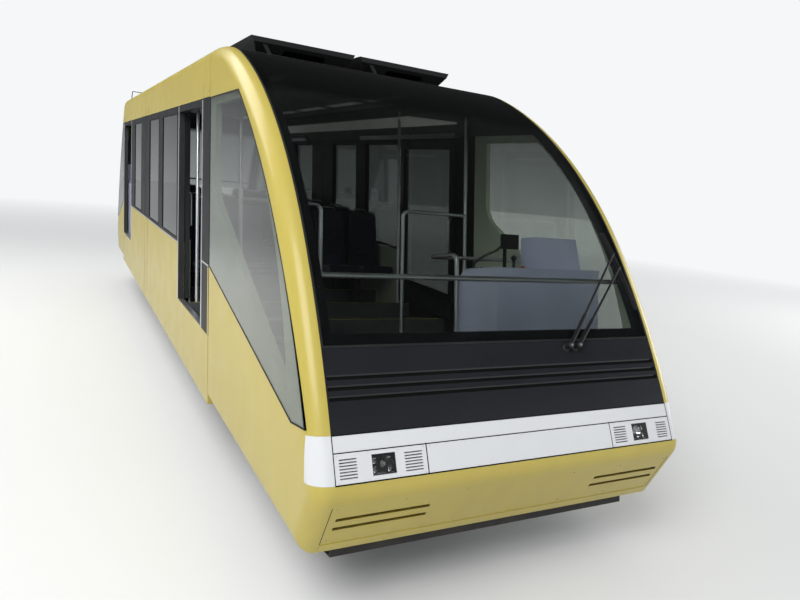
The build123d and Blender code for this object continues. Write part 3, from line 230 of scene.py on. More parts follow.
def through(points: list[Vector], up: Vector = Vector((0.0, 0.0, 1.0))) -> list[Matrix]:
    """Places along a broken line, each square to the line's mean direction there.

    Args:
        points: The corners of the line.
        up: Direction that each place's Y axis keeps to where it can.

    Returns:
        One matrix for each point, its Z axis along the line.
    """
    places = []
    for index, point in enumerate(points):
        before = points[max(index - 1, 0)]
        after = points[min(index + 1, len(points) - 1)]
        ahead = (after - before).normalized()
        guide = up if abs(ahead.dot(up)) < 0.95 else Vector((1.0, 0.0, 0.0))
        right = guide.cross(ahead).normalized()
        turned = Matrix((right, ahead.cross(right), ahead)).transposed().to_4x4()
        places.append(Matrix.Translation(point) @ turned)
    return places


class Piece:
    """A new piece, shaped with mesh operators, then dressed and set on a body."""

    def __init__(self, name: str) -> None:
        """Start an empty piece with a name."""
        self.name = name
        self.mesh = bmesh.new()

    def block(self, low: Point, high: Point, place: Matrix = Matrix()) -> list[bmesh.types.BMVert]:
        """A block between two corners.

        Args:
            low: Lowest corner.
            high: Highest corner.
            place: Where its frame stands.

        Returns:
            The block's corners.
        """
        middle, size = (Vector(low) + Vector(high)) / 2, Vector(high) - Vector(low)
        matrix = place @ Matrix.Translation(middle) @ Matrix.Diagonal((*size, 1.0))
        return bmesh.ops.create_cube(self.mesh, size=1.0, matrix=matrix)["verts"]

    def slant(self, low: Point, high: Point) -> list[bmesh.types.BMVert]:
        """A block with plumb ends whose top and underside follow the track."""
        return self.block(low, high, SHEAR)

    def wall_bar(self, side: Side, y: Span, up: Span, out: Span) -> None:
        """A bar along a side wall.

        Args:
            side: Which side.
            y: Its two stations.
            up: Its foot and head above the rail line.
            out: Its two distances from the car's middle.
        """
        x0, x1 = mirrored(side.value, out)
        self.slant((x0, y[0], up[0]), (x1, y[1], up[1]))

    def disc(self, place: Matrix, radius: float, depth: float, top: float | None = None,
             sides: int = 14) -> None:
        """A round boss that stands on a place.

        Args:
            place: Where its foot stands, its axis along Z.
            radius: Radius at the foot.
            depth: Height along Z.
            top: Radius at the top, or None for the same.
            sides: Number of sides.
        """
        middle = lifted(place, depth / 2)
        bmesh.ops.create_cone(self.mesh, cap_ends=True, segments=sides, radius1=radius,
                              radius2=radius if top is None else top, depth=depth, matrix=middle)

    def _sheet(self, matrix: Matrix) -> list[bmesh.types.BMVert]:
        """The corners of a new flat square with sides of one, moved by a matrix."""
        made = bmesh.ops.create_grid(self.mesh, x_segments=1, y_segments=1, size=0.5, matrix=matrix)
        return made["verts"]

    def carry(self, corners: list[bmesh.types.BMVert], places: list[Matrix]) -> None:
        """Extrude the face on some corners from the first place through all the others."""
        cap = corners[0].link_faces[0]
        for index, (before, after) in enumerate(zip(places, places[1:])):
            old = cap
            grown = bmesh.ops.extrude_face_region(self.mesh, geom=[old])["geom"]
            cap = next(item for item in grown if isinstance(item, bmesh.types.BMFace))
            bmesh.ops.transform(self.mesh, matrix=after @ before.inverted(), verts=cap.verts)
            if index > 0:
                bmesh.ops.delete(self.mesh, geom=[old], context="FACES_ONLY")

    def strip(self, places: list[Matrix], width: float, thickness: float) -> None:
        """A flat strip, its foot on the places, its width along X and its thickness along Y."""
        size = Matrix.Diagonal((width, thickness, 1.0, 1.0))
        matrix = places[0] @ Matrix.Translation((0.0, thickness / 2, 0.0)) @ size
        self.carry(self._sheet(matrix), places)

    def pipe(self, points: list[Vector], radius: float, sides: int = 10) -> None:
        """A round bar through points."""
        places = through(points)
        corners = bmesh.ops.create_circle(self.mesh, cap_ends=True, segments=sides, radius=radius,
                                          matrix=places[0])["verts"]
        self.carry(corners, places)

    def border(self, low: Span, high: Span, width: float, thickness: float, place: Matrix) -> None:
        """A rectangular frame in the XY plane of a place.

        Args:
            low: Lowest outer corner.
            high: Highest outer corner.
            width: Width of the frame, measured inward.
            thickness: Thickness along Z.
            place: Where the frame's plane stands.
        """
        middle = ((low[0] + high[0]) / 2, (low[1] + high[1]) / 2, 0.0)
        matrix = Matrix.Translation(middle) @ Matrix.Diagonal((high[0] - low[0], high[1] - low[1], 1.0, 1.0))
        inner = self._sheet(matrix)[0].link_faces[0]
        ring = bmesh.ops.inset_individual(self.mesh, faces=[inner], thickness=width,
                                          use_even_offset=True)["faces"]
        bmesh.ops.delete(self.mesh, geom=[inner], context="FACES_ONLY")
        grown = bmesh.ops.extrude_face_region(self.mesh, geom=ring)["geom"]
        raised = [item for item in grown if isinstance(item, bmesh.types.BMVert)]
        bmesh.ops.translate(self.mesh, verts=raised, vec=(0.0, 0.0, thickness))
        corners = {corner for face in ring for corner in face.verts} | set(raised)
        bmesh.ops.transform(self.mesh, matrix=place, verts=list(corners))

    def rim(self, node: bpy.types.Object, facing: Vector, width: float, proud: float) -> None:
        """A raised border along the edge of the flat face of a CAD node that looks one way.

        Args:
            node: The node, of whose mesh a copy is taken.
            facing: Direction that the face looks.
            width: Width of the border, measured inward.
            proud: Height of the border.
        """
        part = bmesh.new()
        part.from_mesh(node.data)
        bmesh.ops.remove_doubles(part, verts=part.verts, dist=0.0001)
        part.normal_update()
        away = [face for face in part.faces if face.normal.dot(facing) < 0.98]
        bmesh.ops.delete(part, geom=away, context="FACES")
        bmesh.ops.dissolve_limit(part, angle_limit=0.02, verts=part.verts, edges=part.edges)
        inner = list(part.faces)
        bmesh.ops.inset_region(part, faces=inner, thickness=width, use_even_offset=True, use_boundary=True)
        bmesh.ops.delete(part, geom=inner, context="FACES")
        grown = bmesh.ops.extrude_face_region(part, geom=list(part.faces))["geom"]
        raised = [item for item in grown if isinstance(item, bmesh.types.BMVert)]
        bmesh.ops.translate(part, verts=raised, vec=facing * proud)
        copy = bpy.data.meshes.new("rim")
        part.to_mesh(copy)
        part.free()
        self.mesh.from_mesh(copy)
        bpy.data.meshes.remove(copy)

    def finish(self, material: bpy.types.Material, body: str = CAR, slot: str | None = None,
               bevel: float = 0.0, smooth_under: float = 40.0) -> bpy.types.Object:
        """Close the piece, give it its finish and set it on its body.

        Args:
            material: Its finish.
            body: The body it rides on.
            slot: The record's material slot, where it has one; not used.
            bevel: Width of its rounded edges, 0 for none.
            smooth_under: Angle in degrees under which an edge is shaded smooth.

        Returns:
            The finished object.
        """
        bmesh.ops.recalc_face_normals(self.mesh, faces=self.mesh.faces)
        for edge in self.mesh.edges:
            edge.smooth = edge.calc_face_angle(math.pi) < math.radians(smooth_under)
        for face in self.mesh.faces:
            face.smooth = True
        data = bpy.data.meshes.new(self.name)
        self.mesh.to_mesh(data)
        self.mesh.free()
        data.materials.append(material)
        item = bpy.data.objects.new(self.name, data)
        bpy.context.scene.collection.objects.link(item)
        if bevel > 0:
            rounding = item.modifiers.new("edges", "BEVEL")
            rounding.width = bevel
            rounding.segments = 2
            rounding.limit_method = "ANGLE"
            rounding.angle_limit = math.radians(40)
        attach(item, body)
        LOG.info("%s: %d faces on %s", self.name, len(data.polygons), body)
        return item


class NodeTree:
    """Short ways to add and join the nodes of one material or world."""

    def __init__(self, name: str, world: bool = False) -> None:
        """Make an empty node material, or an empty node world.

        Args:
            name: Its name.
            world: Whether it is a world.
        """
        self.owner = (bpy.data.worlds if world else bpy.data.materials).new(name)
        self.owner.use_nodes = True
        self.nodes, self.links = self.owner.node_tree.nodes, self.owner.node_tree.links
        self.nodes.clear()
        self.output = self.nodes.new("ShaderNodeOutputWorld" if world else "ShaderNodeOutputMaterial")

    def add(self, kind: str, **values: object) -> bpy.types.Node:
        """Add a node and set its properties and input sockets.

        Args:
            kind: The node's type name.
            values: Properties, or input sockets with spaces as underscores; a socket is joined.

        Returns:
            The new node.
        """
        node = self.nodes.new(kind)
        for key, value in values.items():
            socket = key.replace("_", " ")
            if isinstance(value, bpy.types.NodeSocket):
                self.join(value, node.inputs[socket])
            elif socket in node.inputs:
                node.inputs[socket].default_value = value
            else:
                setattr(node, key, value)
        return node

    def join(self, source: bpy.types.NodeSocket, target: bpy.types.NodeSocket) -> None:
        """Link one output socket to one input socket."""
        self.links.new(source, target)

    def place(self, scale: Point = (1.0, 1.0, 1.0)) -> bpy.types.NodeSocket:
        """Object coordinates, multiplied by a scale along each axis."""
        where = self.add("ShaderNodeTexCoord").outputs["Object"]
        return self.add("ShaderNodeMapping", Scale=scale, Vector=where).outputs["Vector"]

    def noise(self, scale: float, detail: float = 4.0,
              vector: bpy.types.NodeSocket | None = None) -> bpy.types.NodeSocket:
        """A noise pattern.

        Args:
            scale: Noise cells per unit of the vector.
            detail: Octaves of finer noise.
            vector: Coordinates, or None for plain Object coordinates.

        Returns:
            The noise's factor output.
        """
        vector = vector or self.place()
        return self.add("ShaderNodeTexNoise", Scale=scale, Detail=detail, Vector=vector).outputs["Fac"]

    def ramp(self, source: bpy.types.NodeSocket, low: float, high: float,
             first: Colour, last: Colour) -> bpy.types.NodeSocket:
        """Turn a value into a colour between two colours.

        Args:
            source: The value.
            low: Value at and under which the first colour shows.
            high: Value at and over which the last colour shows.
            first: First colour.
            last: Last colour.

        Returns:
            The ramp's colour output.
        """
        ramp = self.add("ShaderNodeValToRGB", Fac=source)
        ramp.color_ramp.elements[0].position = low
        ramp.color_ramp.elements[1].position = high
        ramp.color_ramp.elements[0].color = (*first, 1.0)
        ramp.color_ramp.elements[1].color = (*last, 1.0)
        return ramp.outputs["Color"]

    def span(self, source: bpy.types.NodeSocket, low: float, high: float,
             new_low: float, new_high: float) -> bpy.types.NodeSocket:
        """Map one range of values to another, clamped.

        Args:
            source: The value.
            low: Start of the old range.
            high: End of the old range.
            new_low: Start of the new range.
            new_high: End of the new range.

        Returns:
            The mapped value.
        """
        remap = self.add("ShaderNodeMapRange", Value=source, From_Min=low, From_Max=high,
                         To_Min=new_low, To_Max=new_high)
        return remap.outputs["Result"]

    def bump(self, height: bpy.types.NodeSocket, strength: float, distance: float) -> bpy.types.NodeSocket:
        """A bump normal from a height pattern.

        Args:
            height: The pattern.
            strength: Share of the full bump.
            distance: Height of the bump in metres.

        Returns:
            The normal output.
        """
        bump = self.add("ShaderNodeBump", Strength=strength, Distance=distance, Height=height)
        return bump.outputs["Normal"]

    def calculate(self, operation: str, *values: bpy.types.NodeSocket | float) -> bpy.types.NodeSocket:
        """The result of a sum on sockets or numbers."""
        node = self.add("ShaderNodeMath", operation=operation)
        for socket, value in zip(node.inputs, values):
            if isinstance(value, float):
                socket.default_value = value
            else:
                self.join(value, socket)
        return node.outputs["Value"]

    def blend(self, *sources: bpy.types.NodeSocket) -> bpy.types.NodeSocket:
        """Mix two shaders; the sources are the share of the second, the first and the second."""
        mixer = self.add("ShaderNodeMixShader")
        for socket, source in zip(mixer.inputs, sources):
            self.join(source, socket)
        return mixer.outputs["Shader"]

    def finish(self, shader: bpy.types.NodeSocket) -> bpy.types.Material | bpy.types.World:
        """Put a shader on the surface and return the material or world."""
        self.join(shader, self.output.inputs["Surface"])
        return self.owner

    def up_level(self) -> bpy.types.NodeSocket:
        """Height above the sloping rail line."""
        parts = self.add("ShaderNodeSeparateXYZ", Vector=self.add("ShaderNodeTexCoord").outputs["Object"])
        return self.calculate("MULTIPLY_ADD", parts.outputs["Y"], -TAN, parts.outputs["Z"])

    def inward(self) -> bpy.types.NodeSocket:
        """One on the faces that look towards the car's middle, nought on the others."""
        where = self.add("ShaderNodeTexCoord")
        across = [self.add("ShaderNodeSeparateXYZ", Vector=where.outputs[name]).outputs["X"]
                  for name in ("Object", "Normal")]
        return self.span(self.calculate("MULTIPLY", *across), -0.06, -0.02, 1.0, 0.0)

    def mix(self, share: bpy.types.NodeSocket, first: bpy.types.NodeSocket | Colour,
            second: bpy.types.NodeSocket | Colour) -> bpy.types.NodeSocket:
        """Mix two colours by a share.

        Args:
            share: Share of the second colour.
            first: First colour, or a pattern's output.
            second: Second colour, or a pattern's output.

        Returns:
            The mixed colour.
        """
        mixer = self.add("ShaderNodeMix", data_type="RGBA")
        self.join(share, mixer.inputs[0])
        for index, value in ((6, first), (7, second)):
            if isinstance(value, tuple):
                mixer.inputs[index].default_value = (*value, 1.0)
            else:
                self.join(value, mixer.inputs[index])
        return mixer.outputs[2]


@dataclass(frozen=True)
class Enamel:
    """Sprayed gloss enamel with slight colour drift, orange peel and road film low down."""

    name: str
    colour: Colour
    dull: Colour
    roughness: float = 0.32
    coat: float = 0.12
    gloss: float = 0.32
    drift: float = 0.35
    peel: float = 0.02
    film: Colour = (0.20, 0.18, 0.13)
    film_share: float = 0.18
    inside: Colour | None = None

    def build(self) -> bpy.types.Material:
        """Make the enamel's material."""
        tree = NodeTree(self.name)
        tint = tree.ramp(tree.noise(0.9, 5.0), 0.5 - self.drift, 0.5 + self.drift, self.colour, self.dull)
        streaks = tree.noise(1.0, 5.0, tree.place((9.0, 9.0, 1.2)))
        low = tree.span(tree.up_level(), 0.45, 1.15, self.film_share, 0.0)
        patchy = tree.calculate("MULTIPLY", low, tree.span(streaks, 0.35, 0.65, 0.35, 1.0))
        coloured = tree.mix(patchy, tint, self.film)
        if self.inside:
            coloured = tree.mix(tree.inward(), coloured, self.inside)
        haze = tree.span(tree.noise(3.0, 2.0), 0.3, 0.75, self.roughness, self.roughness + 0.08)
        peel = tree.bump(tree.noise(120.0, 0.0), self.peel, 0.0002)
        shader = tree.add("ShaderNodeBsdfPrincipled", Base_Color=coloured, Roughness=haze, Normal=peel,
                          Coat_Weight=self.coat, Coat_Roughness=0.08, Specular_IOR_Level=self.gloss)
        return tree.finish(shader.outputs["BSDF"])


@dataclass(frozen=True)
class TintedGlass:
    """Tinted safety glass that darkens what lies behind it, with a darker band above a level: painted shade
    where the dark ceiling shows through the top.
    """

    name: str
    tint: Colour
    shade: Colour | None = None
    shade_up: Span = (2.6, 3.2)
    roughness: float = 0.015

    def build(self) -> bpy.types.Material:
        """Make the glass material."""
        tree = NodeTree(self.name)
        dust = tree.span(tree.noise(2.6, 6.0), 0.3, 0.7, 0.0, 1.0)
        smeared = tuple(0.93 * part for part in self.tint)
        tint = tree.mix(dust, self.tint, smeared)
        # The darker band above the level is painted shade at the top of the screen.
        if self.shade is not None:
            share = tree.span(tree.up_level(), *self.shade_up, 0.0, 1.0)
            tint = tree.mix(share, tint, self.shade)
        glass = tree.add("ShaderNodeBsdfPrincipled", Base_Color=tint, Roughness=self.roughness, IOR=1.5,
                         Transmission_Weight=1.0)
        clear = tree.add("ShaderNodeBsdfTransparent", Color=tint)
        shadow = tree.add("ShaderNodeLightPath").outputs["Is Shadow Ray"]
        return tree.finish(tree.blend(shadow, glass.outputs["BSDF"], clear.outputs["BSDF"]))


@dataclass(frozen=True)
class Metal:
    """Bare metal with brushed or turned marks."""

    name: str
    colour: Colour
    grime: Colour
    roughness: float = 0.3
    grain: Point = (2.0, 150.0, 150.0)
    wear: float = 0.55

    def build(self) -> bpy.types.Material:
        """Make the metal's material."""
        tree = NodeTree(self.name)
        tone = tree.ramp(tree.noise(4.0, 3.0), self.wear - 0.2, self.wear + 0.25, self.colour, self.grime)
        lines = tree.noise(1.0, 1.0, tree.place(self.grain))
        haze = tree.span(lines, 0.25, 0.75, self.roughness - 0.08, self.roughness + 0.12)
        shader = tree.add("ShaderNodeBsdfPrincipled", Metallic=1.0, Base_Color=tone, Roughness=haze,
                          Normal=tree.bump(lines, 0.06, 0.0002))
        return tree.finish(shader.outputs["BSDF"])


@dataclass(frozen=True)
class Dull:
    """Matt or satin non-metal: rubber, moulded lining, chassis paint."""

    name: str
    colour: Colour
    other: Colour
    roughness: float = 0.6
    grain_scale: float = 90.0
    grain: float = 0.25
    grain_height: float = 0.0006
    gloss: float = 0.5
    glow: float = 0.0

    def build(self) -> bpy.types.Material:
        """Make the matt material."""
        tree = NodeTree(self.name)
        tone = tree.ramp(tree.noise(3.5, 4.0), 0.3, 0.72, self.colour, self.other)
        haze = tree.span(tree.noise(9.0, 3.0), 0.3, 0.7, self.roughness - 0.08, self.roughness + 0.1)
        grain = tree.bump(tree.noise(self.grain_scale, 4.0), self.grain, self.grain_height)
        glow = {"Emission_Color": (*self.colour, 1.0), "Emission_Strength": self.glow} if self.glow else {}
        shader = tree.add("ShaderNodeBsdfPrincipled", Base_Color=tone, Roughness=haze, Normal=grain,
                          Specular_IOR_Level=self.gloss, **glow)
        return tree.finish(shader.outputs["BSDF"])


@dataclass(frozen=True)
class RibbedFloor:
    """Ribbed rubber flooring with ribs across the car."""

    name: str
    colour: Colour
    worn: Colour
    pitch: float = 0.012

    def build(self) -> bpy.types.Material:
        """Make the flooring's material."""
        tree = NodeTree(self.name)
        tone = tree.ramp(tree.noise(2.2, 6.0), 0.35, 0.7, self.colour, self.worn)
        wave = tree.add("ShaderNodeTexWave", wave_type="BANDS", bands_direction="X",
                        Scale=1.0 / self.pitch / 3.2, Vector=tree.place())
        shader = tree.add("ShaderNodeBsdfPrincipled", Roughness=0.7, Base_Color=tone,
                          Normal=tree.bump(wave.outputs["Fac"], 0.5, 0.0015))
        return tree.finish(shader.outputs["BSDF"])


@dataclass(frozen=True)
class SeatCloth:
    """Woven seat cloth in close dark colours with a soft sheen, woven along the pad's own frame."""

    name: str
    warp: Colour
    weft: Colour
    threads: float = 1400.0

    def build(self) -> bpy.types.Material:
        """Make the cloth's material."""
        tree = NodeTree(self.name)
        pad = tree.add("ShaderNodeAttribute", attribute_name="pad_place").outputs["Vector"]
        waves = [tree.add("ShaderNodeTexWave", wave_type="BANDS", bands_direction=direction, Vector=pad,
                          Scale=self.threads / 6.28, Distortion=0.4).outputs["Fac"]
                 for direction in ("X", "DIAGONAL")]
        tone = tree.ramp(tree.noise(160.0, 3.0, pad), 0.38, 0.62, self.warp, self.weft)
        rubbed = tree.span(tree.noise(5.0, 4.0, pad), 0.45, 0.8, 0.0, 0.5)
        lighter = tuple(1.6 * part for part in self.weft)
        shader = tree.add("ShaderNodeBsdfPrincipled", Roughness=0.9, Sheen_Weight=0.4, Sheen_Roughness=0.4,
                          Base_Color=tree.mix(rubbed, tone, lighter),
                          Normal=tree.bump(tree.calculate("MAXIMUM", *waves), 0.35, 0.0006))
        return tree.finish(shader.outputs["BSDF"])


class Finishes:
    """Every finish of the car, built once and shared by the pieces."""

    def __init__(self) -> None:
        """Build all the materials."""
        black = (0.011, 0.012, 0.014)
        makers = (
            Enamel("yellow_enamel", (0.455, 0.37, 0.078), (0.425, 0.34, 0.071),
                   inside=(0.045, 0.046, 0.045)),
            Enamel("white_enamel", (0.62, 0.63, 0.64), (0.57, 0.58, 0.59), film_share=0.12),
            Enamel("black_enamel", black, (0.017, 0.018, 0.021), roughness=0.15, coat=0.0, gloss=0.5,
                   film_share=0.0),
            Enamel("roof_enamel", (0.013, 0.014, 0.015), (0.020, 0.020, 0.020), roughness=0.5, coat=0.0,
                   gloss=0.22, film_share=0.0),
            Enamel("hood_enamel", (0.009, 0.010, 0.010), (0.018, 0.018, 0.019), roughness=0.5, coat=0.0,
                   gloss=0.2, film_share=0.0),
            Enamel("black_satin", (0.010, 0.010, 0.011), (0.014, 0.014, 0.015), roughness=0.40, coat=0.0,
                   gloss=0.14, film_share=0.0),
            Dull("groove_black", (0.003, 0.003, 0.003), (0.005, 0.005, 0.005), roughness=0.9, gloss=0.1),
            Dull("header_grey", (0.040, 0.041, 0.040), (0.052, 0.052, 0.050), roughness=0.5, grain=0.08),
            Dull("frame_paint", (0.018, 0.018, 0.020), (0.040, 0.034, 0.029), roughness=0.55, gloss=0.3),
            Dull("lining", (0.42, 0.46, 0.36), (0.38, 0.42, 0.33), roughness=0.5, grain_scale=220.0,
                 grain=0.1),
            # The screen's darker band from 3.02 to 3.10 above the rail line is painted shade.
            TintedGlass("screen_glass", (0.53, 0.56, 0.54), (0.035, 0.038, 0.036), (3.02, 3.10)),
            TintedGlass("side_glass", (0.13, 0.145, 0.14)),
            TintedGlass("nose_glass", (0.52, 0.55, 0.52)),
            Dull("rubber", (0.008, 0.008, 0.009), (0.014, 0.014, 0.014), roughness=0.7, gloss=0.3),
            RibbedFloor("floor_rubber", (0.055, 0.060, 0.065), (0.085, 0.088, 0.088)),
            Metal("wheel_steel", (0.50, 0.48, 0.46), (0.17, 0.11, 0.075), roughness=0.38),
            Dull("cast", (0.05, 0.05, 0.052), (0.10, 0.085, 0.07), roughness=0.6, grain_scale=160.0,
                 grain=0.5),
            Metal("steel", (0.62, 0.63, 0.64), (0.52, 0.53, 0.54), roughness=0.36, grain=(5.0, 5.0, 5.0)),
            Metal("aluminium", (0.66, 0.67, 0.68), (0.56, 0.57, 0.58), roughness=0.32),
            SeatCloth("seat_cloth", (0.010, 0.013, 0.028), (0.020, 0.024, 0.045)),
            TintedGlass("lamp_glass", (0.55, 0.56, 0.56)),
            Dull("console_grey", (0.52, 0.53, 0.72), (0.48, 0.49, 0.66), roughness=0.42, grain_scale=260.0,
                 grain=0.03, grain_height=0.0003),
            Dull("ceiling_grey", (0.13, 0.135, 0.13), (0.11, 0.115, 0.11), roughness=0.5, grain=0.05),
            # The faint glow paints light on the coves, which are no lamps; on the ceiling lights and lamp
            # bulbs it is lamp light.
            Dull("cove_white", (0.78, 0.78, 0.75), (0.72, 0.72, 0.69), roughness=0.45, grain=0.04, glow=0.07),
            Metal("reflector", (0.86, 0.87, 0.88), (0.80, 0.81, 0.82), roughness=0.12,
                  grain=(30.0, 30.0, 30.0)),
            Dull("black_plastic", (0.014, 0.014, 0.015), (0.022, 0.022, 0.023), roughness=0.42,
                 grain_scale=500.0),
            Dull("signal_red", (0.42, 0.030, 0.020), (0.34, 0.024, 0.018), roughness=0.35, grain=0.08),
            Dull("grip_yellow", (0.55, 0.42, 0.05), (0.45, 0.35, 0.05), roughness=0.6, grain_scale=300.0),
        )
        self.by_name = {maker.name: maker.build() for maker in makers}

    def __getitem__(self, name: str) -> bpy.types.Material:
        """The material of one finish."""
        return self.by_name[name]


# Finish of each of the frame's own nodes, by the slot that the record gives it
SLOT_FINISH = {
    "yellow_paint": "yellow_enamel",
    "white_paint": "white_enamel",
    "black_paint": "black_enamel",
    "roof_paint": "roof_enamel",
    "hood_paint": "hood_enamel",
    "frame_paint": "frame_paint",
    "lining": "lining",
    "screen_glass": "screen_glass",
    "side_glass": "side_glass",
    "rubber": "rubber",
    "floor": "floor_rubber",
    "wheel_steel": "wheel_steel",
    "cast": "cast",
    "steel": "steel",
    "aluminium": "aluminium",
    "fabric": "seat_cloth",
    "lamp_glass": "lamp_glass",
    "console_paint": "console_grey",
    "ceiling_paint": "ceiling_grey",
}

# Nodes whose finish differs from that of their slot
NODE_FINISH = {
    "wipers": "black_satin",
    "side_frame_left": "black_satin",
    "side_frame_right": "black_satin",
    "nose_side_glass_lower": "nose_glass",
    "nose_side_glass_upper": "nose_glass",
}


@dataclass
class Shell:
    """The frame's own nodes, each given its finish."""

    finishes: Finishes
    frame: dict

    def dress(self) -> None:
        """Give every node the finish of its slot."""
        slots = {part["node"]: part["material_slot"] for part in self.frame["record"]["subparts"]}
        for name, node in self.frame["nodes"].items():
            node.data.materials.clear()
            node.data.materials.append(self.finishes[NODE_FINISH.get(name, SLOT_FINISH[slots[name]])])
        LOG.info("dressed %d nodes", len(slots))


def side_plane(side: Side, y: float, up: float, out: float) -> Matrix:
    """A place on a side wall: X uphill along the track's slope, Y up, Z outward.

    Args:
        side: Which long side.
        y: Station.
        up: Height above the rail line.
        out: Distance from the car's middle.

    Returns:
        The place as a sheared matrix whose X axis follows the track.
    """
    hand = side.value
    plane = Matrix(((0.0, 0.0, hand, 0.0), (1.0, 0.0, 0.0, 0.0), (TAN, 1.0, 0.0, 0.0), (0.0, 0.0, 0.0, 1.0)))
    return Matrix.Translation((hand * out, y, rail(y) + up)) @ plane


@dataclass
class Windscreens:
    """Rubber gaskets round both windscreens."""

    finishes: Finishes
    gasket: Span = (0.014, 0.0015)
    foot: float = 0.7306
    stations: int = 26
    head_leans: dict[End, float] = field(default_factory=lambda: {End.LOWER: 66.0, End.UPPER: 49.4})

    def build(self) -> None:
        """Make the gaskets of both noses."""
        width = self.gasket[0]
        edge, inner = BODY.front_half - width / 2, BODY.front_half - width
        for end in End:
            nose = Nose(end)
            start, top = nose.lean(self.foot), self.head_leans[end]
            leans = [start + (top - start) * step / self.stations for step in range(self.stations + 1)]
            piece = Piece(f"windscreen_gasket_{end.label}")
            for x in (-edge, edge):
                piece.strip(upward([nose.leaning(x, lean) for lean in leans]), *self.gasket)
            for lean in (nose.lean(self.foot + width / 2), top):
                piece.strip(sideward([nose.leaning(x, lean) for x in (-inner, inner)]), *self.gasket)
            piece.finish(self.finishes["rubber"], slot="rubber")


@dataclass
class SideGlazing:
    """Slim black frames and rubber gaskets of the side windows and of the noses' side panes."""

    finishes: Finishes
    nodes: dict
    frame: Span = (0.016, 0.0015)
    outside_gasket: Span = (0.016, 0.0052)
    inside_gasket: Span = (0.014, 0.0088)
    nose_gasket: Span = (0.010, 0.0015)
    pane_face: float = 0.006
    inside_foot: float = 0.023
    clear: float = 0.001

    def build(self) -> None:
        """Make the frames and gaskets on both sides."""
        for side in Side:
            self._windows(side)
            self._nose_panes(side)

    def _windows(self, side: Side) -> None:
        """The three window frames of one side, outside and inside."""
        frames = Piece(f"window_frames_{side.label}")
        gaskets = Piece(f"window_gaskets_{side.label}")
        lap, foot_up = self.frame[0] / 2, BODY.window_foot_up
        for y0, y1 in BODY.windows:
            middle, half, tall = (y0 + y1) / 2, (y1 - y0) / 2, BODY.header_up - foot_up
            wall = side_plane(side, middle, foot_up, BODY.half_width)
            frames.border((-half - lap, -lap), (half + lap, tall + lap), *self.frame, wall)
            low, high = (-half + self.clear, self.clear), (half - self.clear, tall - self.clear)
            for depth, gasket in ((self.pane_face, self.outside_gasket),
                                  (self.inside_foot, self.inside_gasket)):
                place = side_plane(side, middle, foot_up, BODY.half_width - depth)
                gaskets.border(low, high, *gasket, place)
        frames.finish(self.finishes["black_satin"], slot="black_paint")
        gaskets.finish(self.finishes["rubber"], slot="rubber")

    def _nose_panes(self, side: Side) -> None:
        """The gaskets round the side panes of both noses on one side."""
        for end in End:
            piece = Piece(f"nose_pane_gasket_{side.label}_{end.label}")
            node = self.nodes[f"nose_side_glass_{end.label}"]
            piece.rim(node, Vector((side.value, 0.0, 0.0)), *self.nose_gasket)
            piece.finish(self.finishes["rubber"], slot="rubber")


